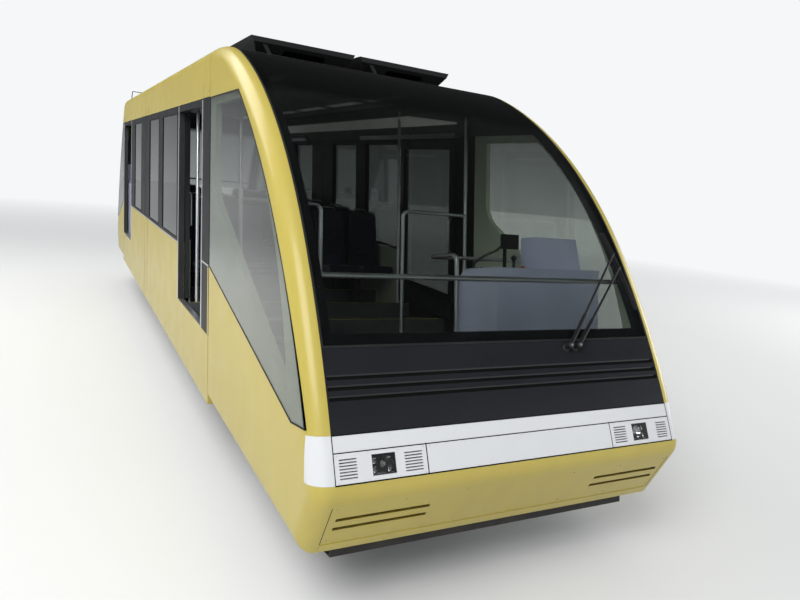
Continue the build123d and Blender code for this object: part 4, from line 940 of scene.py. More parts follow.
@dataclass
class LampBands:
    """Lamps, hatch seams, screws and louvre backs of the white bands across both noses; the black beds in the
    hatch seams and the black louvre backs are painted shade.
    """

    finishes: Finishes
    band: Span = (0.055, 0.295)
    steps: int = 8
    hatch_head: float = 0.205
    hatch_side: float = 0.690
    groove: float = 0.008
    # Black beds in the hatch seams' grooves: painted shade in the grooves
    bed: Span = (0.0076, 0.0015)
    level_bed_foot: float = 0.0049
    upright_bed_foot: float = 0.0046
    corner_line: Span = (0.005, 0.0006)
    corner_inset: float = 0.002
    band_line: Span = (0.007, 0.0008)
    filler: Span = (0.0079, 0.0034)
    filler_foot: float = 0.0035
    filler_short: float = 0.004
    louvres: tuple[Span, ...] = ((0.705, 0.835), (1.095, 1.215))
    # Depth, foot, head and extra width of the two black plates behind each set of louvres: painted shade
    # behind the slots
    louvre_backs: tuple[tuple[float, float, float, float], ...] = (
        (0.064, 0.068, 0.198, 0.030), (0.030, 0.079, 0.187, -0.012))
    louvre_back: float = 0.002
    screw: Boss = (0.0038, 0.0012, 0.00228)
    screw_levels: Span = (0.066, 0.196)
    screw_spots: tuple[float, ...] = (0.03, 0.36, 0.665, 0.705, 0.86, 1.04, 1.215)
    lamp_across: Span = (0.8805, 1.0195)
    lamp_up: Span = (0.0805, 0.1855)
    lamp_clear: float = 0.0022
    pane: Span = (-0.006, -0.002)
    housing: Span = (-0.056, -0.0065)
    housing_wall: float = 0.003
    partition: Span = (0.020, 0.024)
    partition_front: float = -0.012
    # Place and radius of the large reflector and the two small ones
    reflectors: tuple[Point, ...] = ((-0.022, 0.0, 0.040), (0.045, 0.022, 0.016), (0.045, -0.024, 0.016))
    reflector_back: float = -0.045
    bulb_spot: float = -0.040
    bulb_share: float = 0.26

    def build(self) -> None:
        """Make the band fittings of both noses."""
        names = ("lamp_panes", "lamp_housings", "lamp_reflectors", "lamp_bulbs")
        panes, housings, bowls, bulbs = parts = tuple(Piece(name) for name in names)
        for end in End:
            nose = Nose(end)
            self._seams(nose)
            self._fillers(nose)
            self._screws(nose)
            for hand in (-1, 1):
                self._lamp(nose, hand, parts)
        glass = panes.finish(self.finishes["lamp_glass"], slot="lamp_glass", bevel=0.001)
        housing = housings.finish(self.finishes["black_plastic"], slot="rubber")
        bowls.finish(self.finishes["reflector"], slot="steel", smooth_under=60.0)
        bulbs.finish(self.finishes["cove_white"], slot="lamp_glass", smooth_under=60.0)
        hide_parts("headlamps")
        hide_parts("headlamps")

    def _seams(self, nose: Nose) -> None:
        """Black beds sunk round the hatches and black plates behind the louvres, both painted shade, and the
        dark joint lines of the band.
        """
        piece = Piece(f"lamp_band_seams_{nose.end.label}")
        low, high = self.band
        reach = BODY.front_half
        head = self.hatch_head + self.groove / 2
        piece.strip(sideward([nose.at(x, head, -self.level_bed_foot) for x in (-reach, reach)]), *self.bed)
        levels = [low + (high - low) * step / self.steps for step in range(self.steps + 1)]
        for hand in (-1, 1):
            x = hand * (self.hatch_side - self.groove / 2)
            piece.strip(upward([nose.at(x, level, -self.upright_bed_foot) for level in levels]), *self.bed)
            corner = hand * (reach - self.corner_inset)
            piece.strip(upward([nose.at(corner, level) for level in levels]), *self.corner_line)
            for inner, outer in self.louvres:
                middle = hand * (inner + outer) / 2
                for depth, foot, head, extra in self.louvre_backs:
                    back = [nose.at(middle, level, -depth) for level in (foot, head)]
                    piece.strip(upward(back), outer - inner + extra, self.louvre_back)
        for level in (low, high):
            piece.strip(sideward([nose.at(x, level) for x in (-reach, reach)]), *self.band_line)
        piece.finish(self.finishes["groove_black"], slot="rubber")

    def _fillers(self, nose: Nose) -> None:
        """White strips that close the upright grooves above the hatch seam."""
        piece = Piece(f"lamp_band_filler_{nose.end.label}")
        high = self.band[1]
        levels = (self.hatch_head + self.groove, (self.hatch_head + high) / 2, high - self.filler_short)
        for hand in (-1, 1):
            x = hand * (self.hatch_side - self.groove / 2)
            piece.strip(upward([nose.at(x, level, -self.filler_foot) for level in levels]), *self.filler)
        piece.finish(self.finishes["white_enamel"], slot="white_paint")

    def _screws(self, nose: Nose) -> None:
        """Small domed screws along the edges of the hatches."""
        piece = Piece(f"lamp_band_screws_{nose.end.label}")
        for level in self.screw_levels:
            for hand in (-1, 1):
                for x in self.screw_spots:
                    piece.disc(nose.at(hand * x, level), *self.screw, sides=10)
        piece.finish(self.finishes["steel"], slot="steel", smooth_under=20.0)

    def _lamp(self, nose: Nose, hand: int, parts: tuple[Piece, ...]) -> None:
        """One lamp: a black box open to the front, its reflectors and bulbs, and a flat pane.

        Args:
            nose: The nose that carries it.
            hand: Which half of the nose, -1 or 1.
            parts: The pieces that take the pane, the box, the reflectors and the bulbs.
        """
        panes, housings, bowls, bulbs = parts
        (inner, outer), (low, high), (back, front) = self.lamp_across, self.lamp_up, self.housing
        place = nose.at(hand * (inner + outer) / 2, (low + high) / 2)
        half = (outer - inner) / 2
        tall = (high - low) / 2 / math.cos(math.radians(nose.lean(low))) - self.lamp_clear
        panes.block((-half, -tall, self.pane[0]), (half, tall, self.pane[1]), place)
        housings.block((-half, -tall, back), (half, tall, back + self.housing_wall), place)
        for turn in (-1, 1):
            x0, x1 = mirrored(turn, (half, half - self.housing_wall))
            housings.block((x0, -tall, back), (x1, tall, front), place)
            y0, y1 = mirrored(turn, (tall, tall - self.housing_wall))
            housings.block((-half, y0, back), (half, y1, front), place)
        left, right = self.partition
        housings.block((left, -tall, back), (right, tall, self.partition_front), place)
        for x, y, radius in self.reflectors:
            self._bowl(bowls, place @ Matrix.Translation((hand * x, y, self.reflector_back)), radius)
            spot = place @ Matrix.Translation((hand * x, y, self.bulb_spot))
            bmesh.ops.create_uvsphere(bulbs.mesh, u_segments=14, v_segments=8,
                                      radius=radius * self.bulb_share, matrix=spot)

    @staticmethod
    def _bowl(piece: Piece, place: Matrix, radius: float, hole: float = 0.22, dish: float = 0.8) -> None:
        """One dished reflector, spun about its axis.

        Args:
            piece: The piece that takes it.
            place: Where its back stands, its axis along Z.
            radius: Radius of its mouth.
            hole: Radius of the hole for the bulb, as a share of the mouth's.
            dish: Depth as a share of the mouth's radius.
        """
        chain = [piece.mesh.verts.new(place @ Vector((radius * hole, 0.0, 0.0)))]
        for share in (0.45, 0.65, 0.82, 0.94, 1.0):
            spot = Vector((radius * share, 0.0, radius * dish * share * share))
            chain.append(piece.mesh.verts.new(place @ spot))
        edges = [piece.mesh.edges.new(pair) for pair in zip(chain, chain[1:])]
        axis = place.to_3x3() @ Vector((0.0, 0.0, 1.0))
        bmesh.ops.spin(piece.mesh, geom=chain + edges, cent=place.translation, axis=axis, angle=math.tau,
                       steps=28, use_merge=True)


@dataclass
class Skirts:
    """Folded lips, seams, screws and slot backs of both yellow skirts, and the grooves above them; the black
    slot backs and the black beds in the grooves are painted shade.
    """

    finishes: Finishes
    lip_down: float = 0.4235
    lip: Span = (0.057, 0.005)
    edge_line: Span = (0.004, 0.0006)
    edge_inset: float = 0.001
    edge_run: Span = (0.085, 0.390)
    slot_back: Span = (0.060, 0.002)
    slot_back_depth: float = 0.075
    slot_run: Span = (0.60, 1.20)
    slot_downs: Span = (0.245, 0.315)
    screw: Boss = (0.006, 0.0018, 0.004)
    screw_downs: Span = (0.10, 0.36)
    screw_spots: tuple[float, ...] = (-1.205, -0.80, -0.40, 0.0, 0.40, 0.80, 1.205)
    groove_levels: tuple[float, ...] = (0.473325, 0.526625, 0.579925)
    groove_bed: Span = (0.02565, 0.0012)
    groove_depth: float = 0.0155
    groove_margin: float = 0.0125

    def build(self) -> None:
        """Make the skirt fittings of both noses."""
        for end in End:
            nose = Nose(end)
            self._lip(nose)
            self._grooves(nose)
            self._seams(nose)
            self._screws(nose)

    def _lip(self, nose: Nose) -> None:
        """The folded lip along the skirt's foot."""
        piece = Piece(f"skirt_lip_{nose.end.label}")
        reach = BODY.front_half
        piece.strip(sideward([nose.skirt(x, self.lip_down) for x in (-reach, reach)]), *self.lip)
        piece.finish(self.finishes["yellow_enamel"], slot="yellow_paint", bevel=0.0018)

    def _grooves(self, nose: Nose) -> None:
        """Matt black beds in the grooves across the dark apron above the lamp band: painted shade that
        darkens the grooves.
        """
        piece = Piece(f"apron_groove_beds_{nose.end.label}")
        reach = BODY.front_half - self.groove_margin
        for level in self.groove_levels:
            line = [nose.at(x, level, -self.groove_depth) for x in (-reach, reach)]
            piece.strip(sideward(line), *self.groove_bed)
        piece.finish(self.finishes["groove_black"], slot="rubber")

    def _seams(self, nose: Nose) -> None:
        """Dark lines at the skirt's corners, and black plates behind its slots that paint the shade inside
        them.
        """
        piece = Piece(f"skirt_seams_{nose.end.label}")
        for hand in (-1, 1):
            corner = hand * (BODY.front_half - self.edge_inset)
            piece.strip(upward([nose.skirt(corner, down) for down in self.edge_run]), *self.edge_line)
            # Black plates behind the slots: painted shade
            for down in self.slot_downs:
                back = [nose.skirt(hand * x, down, -self.slot_back_depth) for x in self.slot_run]
                piece.strip(sideward(back), *self.slot_back)
        piece.finish(self.finishes["rubber"], slot="rubber")

    def _screws(self, nose: Nose) -> None:
        """Painted screws along the skirt's head and foot."""
        piece = Piece(f"skirt_screws_{nose.end.label}")
        for down in self.screw_downs:
            for x in self.screw_spots:
                piece.disc(nose.skirt(x, down), *self.screw, sides=10)
        piece.finish(self.finishes["yellow_enamel"], slot="yellow_paint", smooth_under=20.0)


@dataclass
class WiperDetails:
    """Pivot caps and nuts of the wipers."""

    finishes: Finishes
    pivots: Span = (0.460, 0.535)
    pivot_up: float = 0.690
    foot_cap: Boss = (0.027, 0.010, 0.02295)
    arm_cap: Boss = (0.019, 0.006, 0.015)
    arm_cap_off: float = 0.053
    nut: Span = (0.009, 0.006)

    def build(self) -> None:
        """Make the caps on both noses."""
        for end in End:
            nose = Nose(end)
            caps = Piece(f"wiper_caps_{end.label}")
            nuts = Piece(f"wiper_nuts_{end.label}")
            for x in self.pivots:
                place = nose.at(x, self.pivot_up)
                caps.disc(place, *self.foot_cap, sides=20)
                arm = lifted(place, self.arm_cap_off)
                caps.disc(arm, *self.arm_cap, sides=20)
                nuts.disc(lifted(arm, self.arm_cap[1]), *self.nut, sides=6)
            caps.finish(self.finishes["black_plastic"], slot="black_paint", bevel=0.001)
            nuts.finish(self.finishes["steel"], slot="steel", bevel=0.0008)


@dataclass
class HoodDetails:
    """Foot flanges, bolts and slot bars of the four roof hoods."""

    finishes: Finishes
    across: Span = (0.025, 1.000)
    fronts: dict[End, float] = field(default_factory=lambda: {End.LOWER: -3.010, End.UPPER: 4.200})
    length: float = 1.150
    flare: float = 0.090
    undercut: float = 0.150
    lift: float = 0.001
    flange: float = 0.004
    flange_reach: Span = (-0.030, 0.010)
    bolt: Span = (0.009, 0.006)
    bolt_count: int = 7
    bolt_margin: float = 0.060
    bolt_inset: float = 0.012
    slot: Span = (0.320, 0.680)
    slot_levels: Span = (0.036, 0.094)
    bar_half: float = 0.003
    bar_count: int = 13
    bar_back: float = 0.170

    def build(self) -> None:
        """Make the flanges, bolts and bars of each hood."""
        flanges, bolts, bars = Piece("hood_flanges"), Piece("hood_bolts"), Piece("hood_slot_bars")
        width = self.across[1] - self.across[0]
        for end in End:
            for left in (-self.across[1], self.across[0]):
                for hand, edge in ((1, left + self.flare), (-1, left + width - self.flare)):
                    inner, outer = mirrored(hand, self.flange_reach)
                    bolt_x = edge + hand * (self.flange_reach[0] + self.bolt_inset)
                    self._flange(end, (edge + inner, edge + outer), bolt_x, flanges, bolts)
                self._bars(end, left, bars)
        flanges.finish(self.finishes["hood_enamel"], slot="hood_paint", bevel=0.001)
        bolts.finish(self.finishes["steel"], slot="steel", bevel=0.0008)
        bars.finish(self.finishes["hood_enamel"], slot="hood_paint")

    def _flange(self, end: End, across: Span, bolt_x: float, flanges: Piece, bolts: Piece) -> None:
        """One flange along a hood's foot, with its row of bolts.

        Args:
            end: The nose that the hood is nearest to.
            across: The flange's two edges across the car.
            bolt_x: Where its bolts stand across the car.
            flanges: The piece that takes the flange.
            bolts: The piece that takes the bolts.
        """
        front, inward = self.fronts[end], -end.value
        y0, y1 = sorted((front + inward * self.undercut, front + inward * self.length))
        foot = BODY.crown_up + self.lift
        flanges.slant((across[0], y0, foot), (across[1], y1, foot + self.flange))
        for step in range(self.bolt_count):
            y = y0 + self.bolt_margin + (y1 - y0 - 2 * self.bolt_margin) * step / (self.bolt_count - 1)
            place = Matrix.Translation((bolt_x, y, rail(y) + foot + self.flange))
            bolts.disc(place @ Matrix.Rotation(SLOPE, 4, "X"), *self.bolt, sides=6)

    def _bars(self, end: End, left: float, bars: Piece) -> None:
        """The upright bars in one hood's end slots."""
        y, half = self.fronts[end] - end.value * self.bar_back, self.bar_half
        foot, head = (BODY.crown_up + level for level in self.slot_levels)
        for step in range(self.bar_count):
            x = left + self.slot[0] + step * (self.slot[1] - self.slot[0]) / (self.bar_count - 1)
            bars.slant((x - half, y - half, foot), (x + half, y + half, head))


@dataclass
class DoorDetails:
    """Gaskets, edge seals, kick plates and pulls of the four sliding doors, each on its own door's body."""

    finishes: Finishes
    leaf: Span = (1.242, 1.282)
    leaf_up: Span = (1.062, 2.995)
    # Faces of the glass and the thickness of the gasket on each
    gaskets: tuple[Span, ...] = ((1.2663, 0.012), (1.2577, -0.012))
    gasket_width: float = 0.013
    light_edge: float = 0.0908
    light_up: Span = (1.3228, 2.9042)
    seal: Span = (0.001, 0.028)
    seal_thickness: float = 0.005
    seal_short: float = 0.004
    kick_thickness: float = 0.0015
    kick_margin: float = 0.040
    kick_up: Span = (0.020, 0.200)
    pull_inset: float = 0.052
    pull_off: float = 0.024
    pull_foot: float = 0.0235
    pull_up: Span = (1.80, 2.15)
    pull_bend: float = 0.012
    pull_radius: float = 0.008
    spots: dict[tuple[Side, End], Span] = field(default_factory=lambda: {
        (Side.RIGHT, End.LOWER): (-2.755, -1.545),
        (Side.LEFT, End.LOWER): (-1.595, -0.385),
        (Side.RIGHT, End.UPPER): (3.015, 4.225),
        (Side.LEFT, End.UPPER): (1.855, 3.065),
    })

    def build(self) -> None:
        """Make the details of every door."""
        for (side, end), run in self.spots.items():
            body = f"door_{side.label}_{end.label}"
            closing, inward = (run[0], 1) if end is End.LOWER else (run[1], -1)
            self._gaskets(side, body, run)
            self._seal(side, body, closing, inward)
            self._kick_plates(side, body, run)
            self._pull(side, body, closing + inward * self.pull_inset)

    def _gaskets(self, side: Side, body: str, run: Span) -> None:
        """Rubber round both faces of a door's glass."""
        piece = Piece(f"{body}_gaskets")
        middle, half = (run[0] + run[1]) / 2, (run[1] - run[0]) / 2 - self.light_edge
        foot, head = self.light_up
        for out, thickness in self.gaskets:
            place = side_plane(side, middle, foot, out)
            piece.border((-half, 0.0), (half, head - foot), self.gasket_width, thickness, place)
        piece.finish(self.finishes["rubber"], body, "rubber", bevel=0.002)

    def _seal(self, side: Side, body: str, closing: float, inward: int) -> None:
        """The rubber seal along the closing edge.

        Args:
            side: Which side.
            body: The door's body.
            closing: Station of the closing edge.
            inward: Which way the leaf lies from there, -1 or 1.
        """
        piece = Piece(f"{body}_edge_seal")
        low, high = sorted(closing + inward * reach for reach in self.seal)
        up = (self.leaf_up[0] + self.seal_short, self.leaf_up[1] - self.seal_short)
        piece.wall_bar(side, (low, high), up, (self.leaf[1], self.leaf[1] + self.seal_thickness))
        piece.finish(self.finishes["rubber"], body, "rubber", bevel=0.002)

    def _kick_plates(self, side: Side, body: str, run: Span) -> None:
        """A kick plate on each face at the leaf's foot."""
        piece = Piece(f"{body}_kick_plates")
        y = (run[0] + self.kick_margin, run[1] - self.kick_margin)
        up = (self.leaf_up[0] + self.kick_up[0], self.leaf_up[0] + self.kick_up[1])
        inner, outer = self.leaf
        for out in ((outer, outer + self.kick_thickness), (inner - self.kick_thickness, inner)):
            piece.wall_bar(side, y, up, out)
        piece.finish(self.finishes["black_plastic"], body, "rubber", bevel=0.0006)

    def _pull(self, side: Side, body: str, y: float) -> None:
        """A pull bar on the leaf's inner face, at station y."""
        piece = Piece(f"{body}_pull")
        x = side.value * (self.leaf[0] - self.pull_off)
        foot, head = (Vector((x, y, rail(y) + up)) for up in self.pull_up)
        wall, bend = Vector((side.value * self.pull_foot, 0.0, 0.0)), Vector((0.0, 0.0, self.pull_bend))
        piece.pipe([foot + wall, foot + bend, head - bend, head + wall], self.pull_radius)
        piece.finish(self.finishes["steel"], body, "steel", smooth_under=60.0)


@dataclass
class SideTrim:
    """Bright trim, dark reveals, joint covers and screws of both sides, with dark lines painted as shadow
    under the roof edge and beside the covers.
    """

    finishes: Finishes
    doors: tuple[Span, ...] = (BODY.lower_door, BODY.upper_door)
    proud: float = 0.0015
    jamb: float = 0.040
    jamb_gap: float = 0.001
    jamb_short: float = 0.006
    sill: float = 0.014
    sill_gap: float = 0.020
    threshold: Span = (0.0005, 0.004)
    threshold_across: Span = (1.292, 1.348)
    threshold_gap: float = 0.003
    reveal: Span = (0.0002, 0.0022)
    reveal_up: Span = (1.055, 2.966)
    reveal_across: Span = (1.292, 1.3495)
    riser_up: Span = (0.800, 1.049)
    riser_across: Span = (1.286, 1.2895)
    riser_gap: float = 0.002
    screw: Boss = (0.0045, 0.0008, 0.003)
    screw_first_up: float = 1.120
    screw_pitch: float = 0.305
    screw_count: int = 7
    line_half: float = 0.005
    line_proud: float = 0.0006
    line_gap: float = 0.012
    cover_gap: float = 0.014
    cover_reach: float = 0.280
    short_cover_reach: float = 0.046
    cover_thickness: float = 0.0012
    cover_up: Span = (0.660, 1.618)
    # Width of the dark line painted as shadow at a cover strip's outer edge
    cover_seal: float = 0.007
    cover_foot_up: float = 3.038
    cover_screw: Boss = (0.009, 0.0016, 0.007)
    cover_screw_up: float = 0.020
    cover_screw_spread: float = 0.4
    roof_radius: float = 0.300
    roof_turns: tuple[float, ...] = (0, 10, 20, 30, 40, 51)

    def build(self) -> None:
        """Make the trim of both sides."""
        for side in Side:
            self._metal(side)
            self._reveals(side)
            self._screws(side)
            self._dark(side)
            self._covers(side)

    def _metal(self, side: Side) -> None:
        """Bright door jambs, thresholds and sill strips."""
        piece = Piece(f"side_bright_trim_{side.label}")
        wall = (BODY.half_width, BODY.half_width + self.proud)
        jamb_up = (BODY.boarding_up, BODY.gutter_up - self.jamb_short)
        threshold_up = tuple(BODY.boarding_up + up for up in self.threshold)
        for y0, y1 in self.doors:
            piece.wall_bar(side, (y0 - self.jamb, y0 - self.jamb_gap), jamb_up, wall)
            piece.wall_bar(side, (y1 + self.jamb_gap, y1 + self.jamb), jamb_up, wall)
            run = (y0 + self.threshold_gap, y1 - self.threshold_gap)
            piece.wall_bar(side, run, threshold_up, self.threshold_across)
        (low0, low1), (high0, high1) = self.doors
        sill_up = (BODY.sill_up - self.sill / 2, BODY.sill_up + self.sill / 2)
        for run in ((BODY.lower_joint + self.sill_gap, low0 - self.jamb),
                    (low1 + self.jamb, BODY.middle_joint - self.sill_gap),
                    (BODY.middle_joint + self.sill_gap, high0 - self.jamb),
                    (high1 + self.jamb, BODY.upper_joint - self.sill_gap)):
            piece.wall_bar(side, run, sill_up, wall)
        piece.finish(self.finishes["aluminium"], slot="aluminium", bevel=0.0005)

    def _reveals(self, side: Side) -> None:
        """Black faces in the door openings and risers under the thresholds."""
        piece = Piece(f"threshold_risers_{side.label}")
        near, far = self.reveal
        for y0, y1 in self.doors:
            for run in ((y0 + near, y0 + far), (y1 - far, y1 - near)):
                piece.wall_bar(side, run, self.reveal_up, self.reveal_across)
            run = (y0 + self.riser_gap, y1 - self.riser_gap)
            piece.wall_bar(side, run, self.riser_up, self.riser_across)
        piece.finish(self.finishes["black_plastic"], slot="rubber")

    def _screws(self, side: Side) -> None:
        """A row of small screws up every jamb."""
        piece = Piece(f"side_screws_{side.label}")
        turn = Matrix.Rotation(math.radians(90) * side.value, 4, "Y")
        x = side.value * (BODY.half_width + self.proud)
        for y0, y1 in self.doors:
            for y in (y0 - self.jamb / 2, y1 + self.jamb / 2):
                for step in range(self.screw_count):
                    up = self.screw_first_up + self.screw_pitch * step
                    piece.disc(Matrix.Translation((x, y, rail(y) + up)) @ turn, *self.screw, sides=8)
        piece.finish(self.finishes["steel"], slot="steel")

    def _dark(self, side: Side) -> None:
        """A dark line under the roof edge at gutter height: painted shadow at the foot of the roof edge."""
        piece = Piece(f"side_dark_lines_{side.label}")
        wall = (BODY.half_width, BODY.half_width + self.line_proud)
        up = (BODY.gutter_up - self.line_half, BODY.gutter_up + self.line_half)
        for low, high in ((BODY.lower_joint, BODY.middle_joint), (BODY.middle_joint, BODY.upper_joint)):
            piece.wall_bar(side, (low + self.line_gap, high - self.line_gap), up, wall)
        piece.finish(self.finishes["rubber"], slot="rubber")

    def _covers(self, side: Side) -> None:
        """Yellow cover strips beside the body's joints, on the waist and round the roof edge."""
        strips = Piece(f"joint_flashings_{side.label}")
        edge_shadows_and_screws = Piece(f"joint_flashing_seals_{side.label}")
        for joint, turn in ((BODY.lower_joint, 1), (BODY.middle_joint, -1), (BODY.middle_joint, 1),
                            (BODY.upper_joint, -1)):
            self._cover(side, joint, turn, strips, edge_shadows_and_screws)
        strips.finish(self.finishes["yellow_enamel"], slot="yellow_paint", bevel=0.0005)
        edge_shadows_and_screws.finish(self.finishes["black_plastic"], slot="rubber")

    def _cover(self, side: Side, joint: float, turn: int, strips: Piece, edge_shadows_and_screws: Piece) -> None:
        """The cover strips on one hand of one joint, with dark lines painted as shadow along their outer
        edges, and screws.

        Args:
            side: Which side.
            joint: Station of the joint.
            turn: Which way the strips lie from the joint, -1 or 1.
            strips: The piece that takes the strips.
            edge_shadows_and_screws: The piece that takes the painted shadow lines and the screws.
        """
        wall = (BODY.half_width, BODY.half_width + self.cover_thickness)
        central = joint == BODY.middle_joint
        reach = self.cover_reach if central else self.short_cover_reach
        low, high = sorted((joint + turn * self.cover_gap, joint + turn * reach))
        strips.wall_bar(side, (low, high), self.cover_up, wall)
        low, high = sorted((joint + turn * self.cover_gap, joint + turn * self.cover_reach))
        foot = self._roof_strip(strips, side, (low + high) / 2, high - low)
        outer = joint + turn * self.cover_reach
        # A dark line at the strips' outer edge: painted shadow
        self._roof_strip(edge_shadows_and_screws, side, outer, self.cover_seal)
        if central:
            run = (outer - self.cover_seal / 2, outer + self.cover_seal / 2)
            edge_shadows_and_screws.wall_bar(side, run, self.cover_up, wall)
        for share in (-self.cover_screw_spread, self.cover_screw_spread):
            spot = Matrix.Translation((0.0, share * (high - low), 0.0)) @ foot
            edge_shadows_and_screws.disc(spot, *self.cover_screw, sides=12)

    def _roof_strip(self, piece: Piece, side: Side, y: float, width: float) -> Matrix:
        """A cover strip that follows the roof edge round its curve.

        Args:
            piece: The piece that takes it.
            side: Which side.
            y: Its station.
            width: Its width along the car.

        Returns:
            The place of a screw at its foot.
        """
        hand, centre_up = side.value, BODY.crown_up - self.roof_radius
        along = Vector((0.0, -hand, -hand * TAN))
        places = []
        for angle in (None, *self.roof_turns):
            turn = math.radians(angle or 0)
            up = self.cover_foot_up if angle is None else centre_up + self.roof_radius * math.sin(turn)
            x = hand * (BODY.half_width - self.roof_radius * (1 - math.cos(turn)))
            out = Vector((hand * math.cos(turn), 0.0, math.sin(turn)))
            ahead = Vector((-hand * math.sin(turn), 0.0, math.cos(turn)))
            turned = Matrix((along, out, ahead)).transposed().to_4x4()
            places.append(Matrix.Translation((x, y, rail(y) + up)) @ turned)
        piece.strip(places, width, self.cover_thickness)
        raised = lifted(places[0], self.cover_screw_up)
        return raised @ Matrix.Rotation(math.radians(-90), 4, "X")


@dataclass
class Seats:
    """Six rows of four padded seats, sewn and piped, on thin moulded shells with grab handles."""

    finishes: Finishes
    rows: tuple[int, ...] = (5, 6, 7, 8, 9, 10)
    columns: tuple[Span, ...] = ((0.300, 0.730), (0.740, 1.170))
    front_gap: float = 0.130
    depth: float = 0.430
    seat_up: float = 0.440
    pad: float = 0.080
    back_pad: float = 0.075
    shell: float = 0.010
    shell_short: float = 0.001
    back_rise: Span = (0.360, 1.160)
    back_rake: float = 0.090
    shoulder: float = 0.070
    shoulder_steps: int = 6
    edge_round: float = 0.016
    edge_steps: int = 3
    inset: float = 0.008
    # Shares of the length at which the channels are sewn
    cushion_channels: tuple[float, ...] = (0.30,)
    back_channels: tuple[float, ...] = (0.30, 0.62)
    channel: float = 0.009
    channel_depth: float = 0.009
    cap: float = 0.022
    margin: float = 0.001
    voxel: float = 0.013
    frames: int = 20
    pressure: float = 4.0
    piping: float = 0.0035
    piping_foot: float = 0.06
    piping_bend: float = 0.3
    piping_share: float = 0.985
    piping_down: float = 0.006
    piping_back: float = 0.012
    # Outline of a grab handle: across the back, and above its top
    grip: tuple[Span, ...] = ((-0.095, -0.050), (-0.095, 0.008), (-0.070, 0.030),
                              (0.070, 0.030), (0.095, 0.008), (0.095, -0.050))
    grip_off: float = 0.012
    grip_radius: float = 0.008

    def build(self) -> None:
        """Make one cushion and one back, then seat a copy of each in every place."""
        wide = self.columns[0][1] - self.columns[0][0]
        tall = math.hypot(self.back_rise[1] - self.back_rise[0], self.back_rake)
        cushion = self._pad("cushion", (wide, self.depth, self.pad), 0.0, self.cushion_channels)
        back = self._pad("back", (wide, tall, self.back_pad - self.shell), self.shoulder, self.back_channels)
        for row in self.rows:
            nosing = BODY.nosing(row)
            front, level = nosing + self.front_gap, rail(nosing) + BODY.boarding_up
            for hand in (-1, 1):
                for number, (inner, outer) in enumerate(self.columns):
                    x = hand * (inner + outer) / 2
                    label = f"row{row}_{'left' if hand < 0 else 'right'}{number}"
                    flat = Matrix.Translation((x, front, level + self.seat_up - self.pad))
                    self._seat(f"seat_cushion_{label}", cushion, flat, "seat_cushions")
                    self._seat(f"seat_back_{label}", back, self._back_place(x, front, level), "seat_backs")
            self._shells(row, front, level, tall)
        for mesh in (cushion, back):
            bpy.data.meshes.remove(mesh)

    def _back_place(self, x: float, front: float, level: float) -> Matrix:
        """Where a back pad's frame stands: X across, Y up the back, Z towards the sitter."""
        rise = Vector((0.0, self.back_rake, self.back_rise[1] - self.back_rise[0])).normalized()
        across = Vector((1.0, 0.0, 0.0))
        facing = across.cross(rise)
        turned = Matrix((across, rise, facing)).transposed().to_4x4()
        foot = Vector((x, front + self.depth, level + self.back_rise[0]))
        return Matrix.Translation(foot - facing * (self.back_pad - self.shell)) @ turned

    @staticmethod
    def _round(mesh: bmesh.types.BMesh, edges: list[bmesh.types.BMEdge], radius: float, steps: int) -> None:
        """Round some edges of a mesh by a radius, in a number of steps."""
        bmesh.ops.bevel(mesh, geom=edges, offset=radius, affect="EDGES", segments=steps, profile=0.5,
                        material=-1)

    def _pad(self, name: str, size: Point, shoulder: float, channels: tuple[float, ...]) -> bpy.types.Mesh:
        """A padded form in its own frame, blown up by a cloth simulation and then sewn.

        Args:
            name: Name of the form.
            size: Width, length and thickness.
            shoulder: Radius of the corners at the far end, 0 for small ones.
            channels: Shares of the length at which channels are sewn.

        Returns:
            The padded mesh, from 0 to the thickness along Z.
        """
        item = self._form(name, size, shoulder)
        remesh = item.modifiers.new("even", "REMESH")
        remesh.mode, remesh.voxel_size = "VOXEL", self.voxel
        even = self._applied(item)
        item.modifiers.clear()
        item.data = even
        still = [vertex.co.copy() for vertex in even.vertices]
        blown = even
        cloth = item.modifiers.new("cloth", "CLOTH")
        cloth.settings.use_pressure = True
        cloth.settings.uniform_pressure_force = self.pressure
        cloth.settings.effector_weights.gravity = 0.0
        for number in range(1, self.frames + 1):
            bpy.context.scene.frame_set(number)
        blown = self._applied(item)
        bpy.context.scene.frame_set(1)
        bpy.data.objects.remove(item)
        self._fit(blown, still, size, channels)
        LOG.info("%s form: %d faces", name, len(blown.polygons))
        return blown

    def _form(self, name: str, size: Point, shoulder: float) -> bpy.types.Object:
        """The rounded block that a pad is blown up from.

        Args:
            name: Name of the form.
            size: Width, length and thickness of the pad's room.
            shoulder: Radius of the corners at the far end, 0 for small ones.

        Returns:
            The block as an object.
        """
        width, length, thick = size
        form = bmesh.new()
        middle = Matrix.Translation((0.0, length / 2, thick / 2 - self.inset / 4))
        room = (width - 2 * self.inset, length - 2 * self.inset, thick - 1.5 * self.inset)
        bmesh.ops.create_cube(form, size=1.0, matrix=middle @ Matrix.Diagonal((*room, 1.0)))
        if shoulder > 0:
            upright = [edge for edge in form.edges
                       if all(vertex.co.y > length / 2 for vertex in edge.verts)
                       and abs(edge.verts[0].co.x - edge.verts[1].co.x) < width / 2]
            self._round(form, upright, shoulder, self.shoulder_steps)
        self._round(form, list(form.edges), self.edge_round, self.edge_steps)
        bmesh.ops.recalc_face_normals(form, faces=form.faces)
        data = bpy.data.meshes.new(f"{name}_form")
        form.to_mesh(data)
        form.free()
        item = bpy.data.objects.new(f"{name}_form", data)
        bpy.context.scene.collection.objects.link(item)
        return item

    @staticmethod
    def _applied(item: bpy.types.Object) -> bpy.types.Mesh:
        """The mesh of an object with its modifiers applied."""
        graph = bpy.context.evaluated_depsgraph_get()
        return bpy.data.meshes.new_from_object(item.evaluated_get(graph))

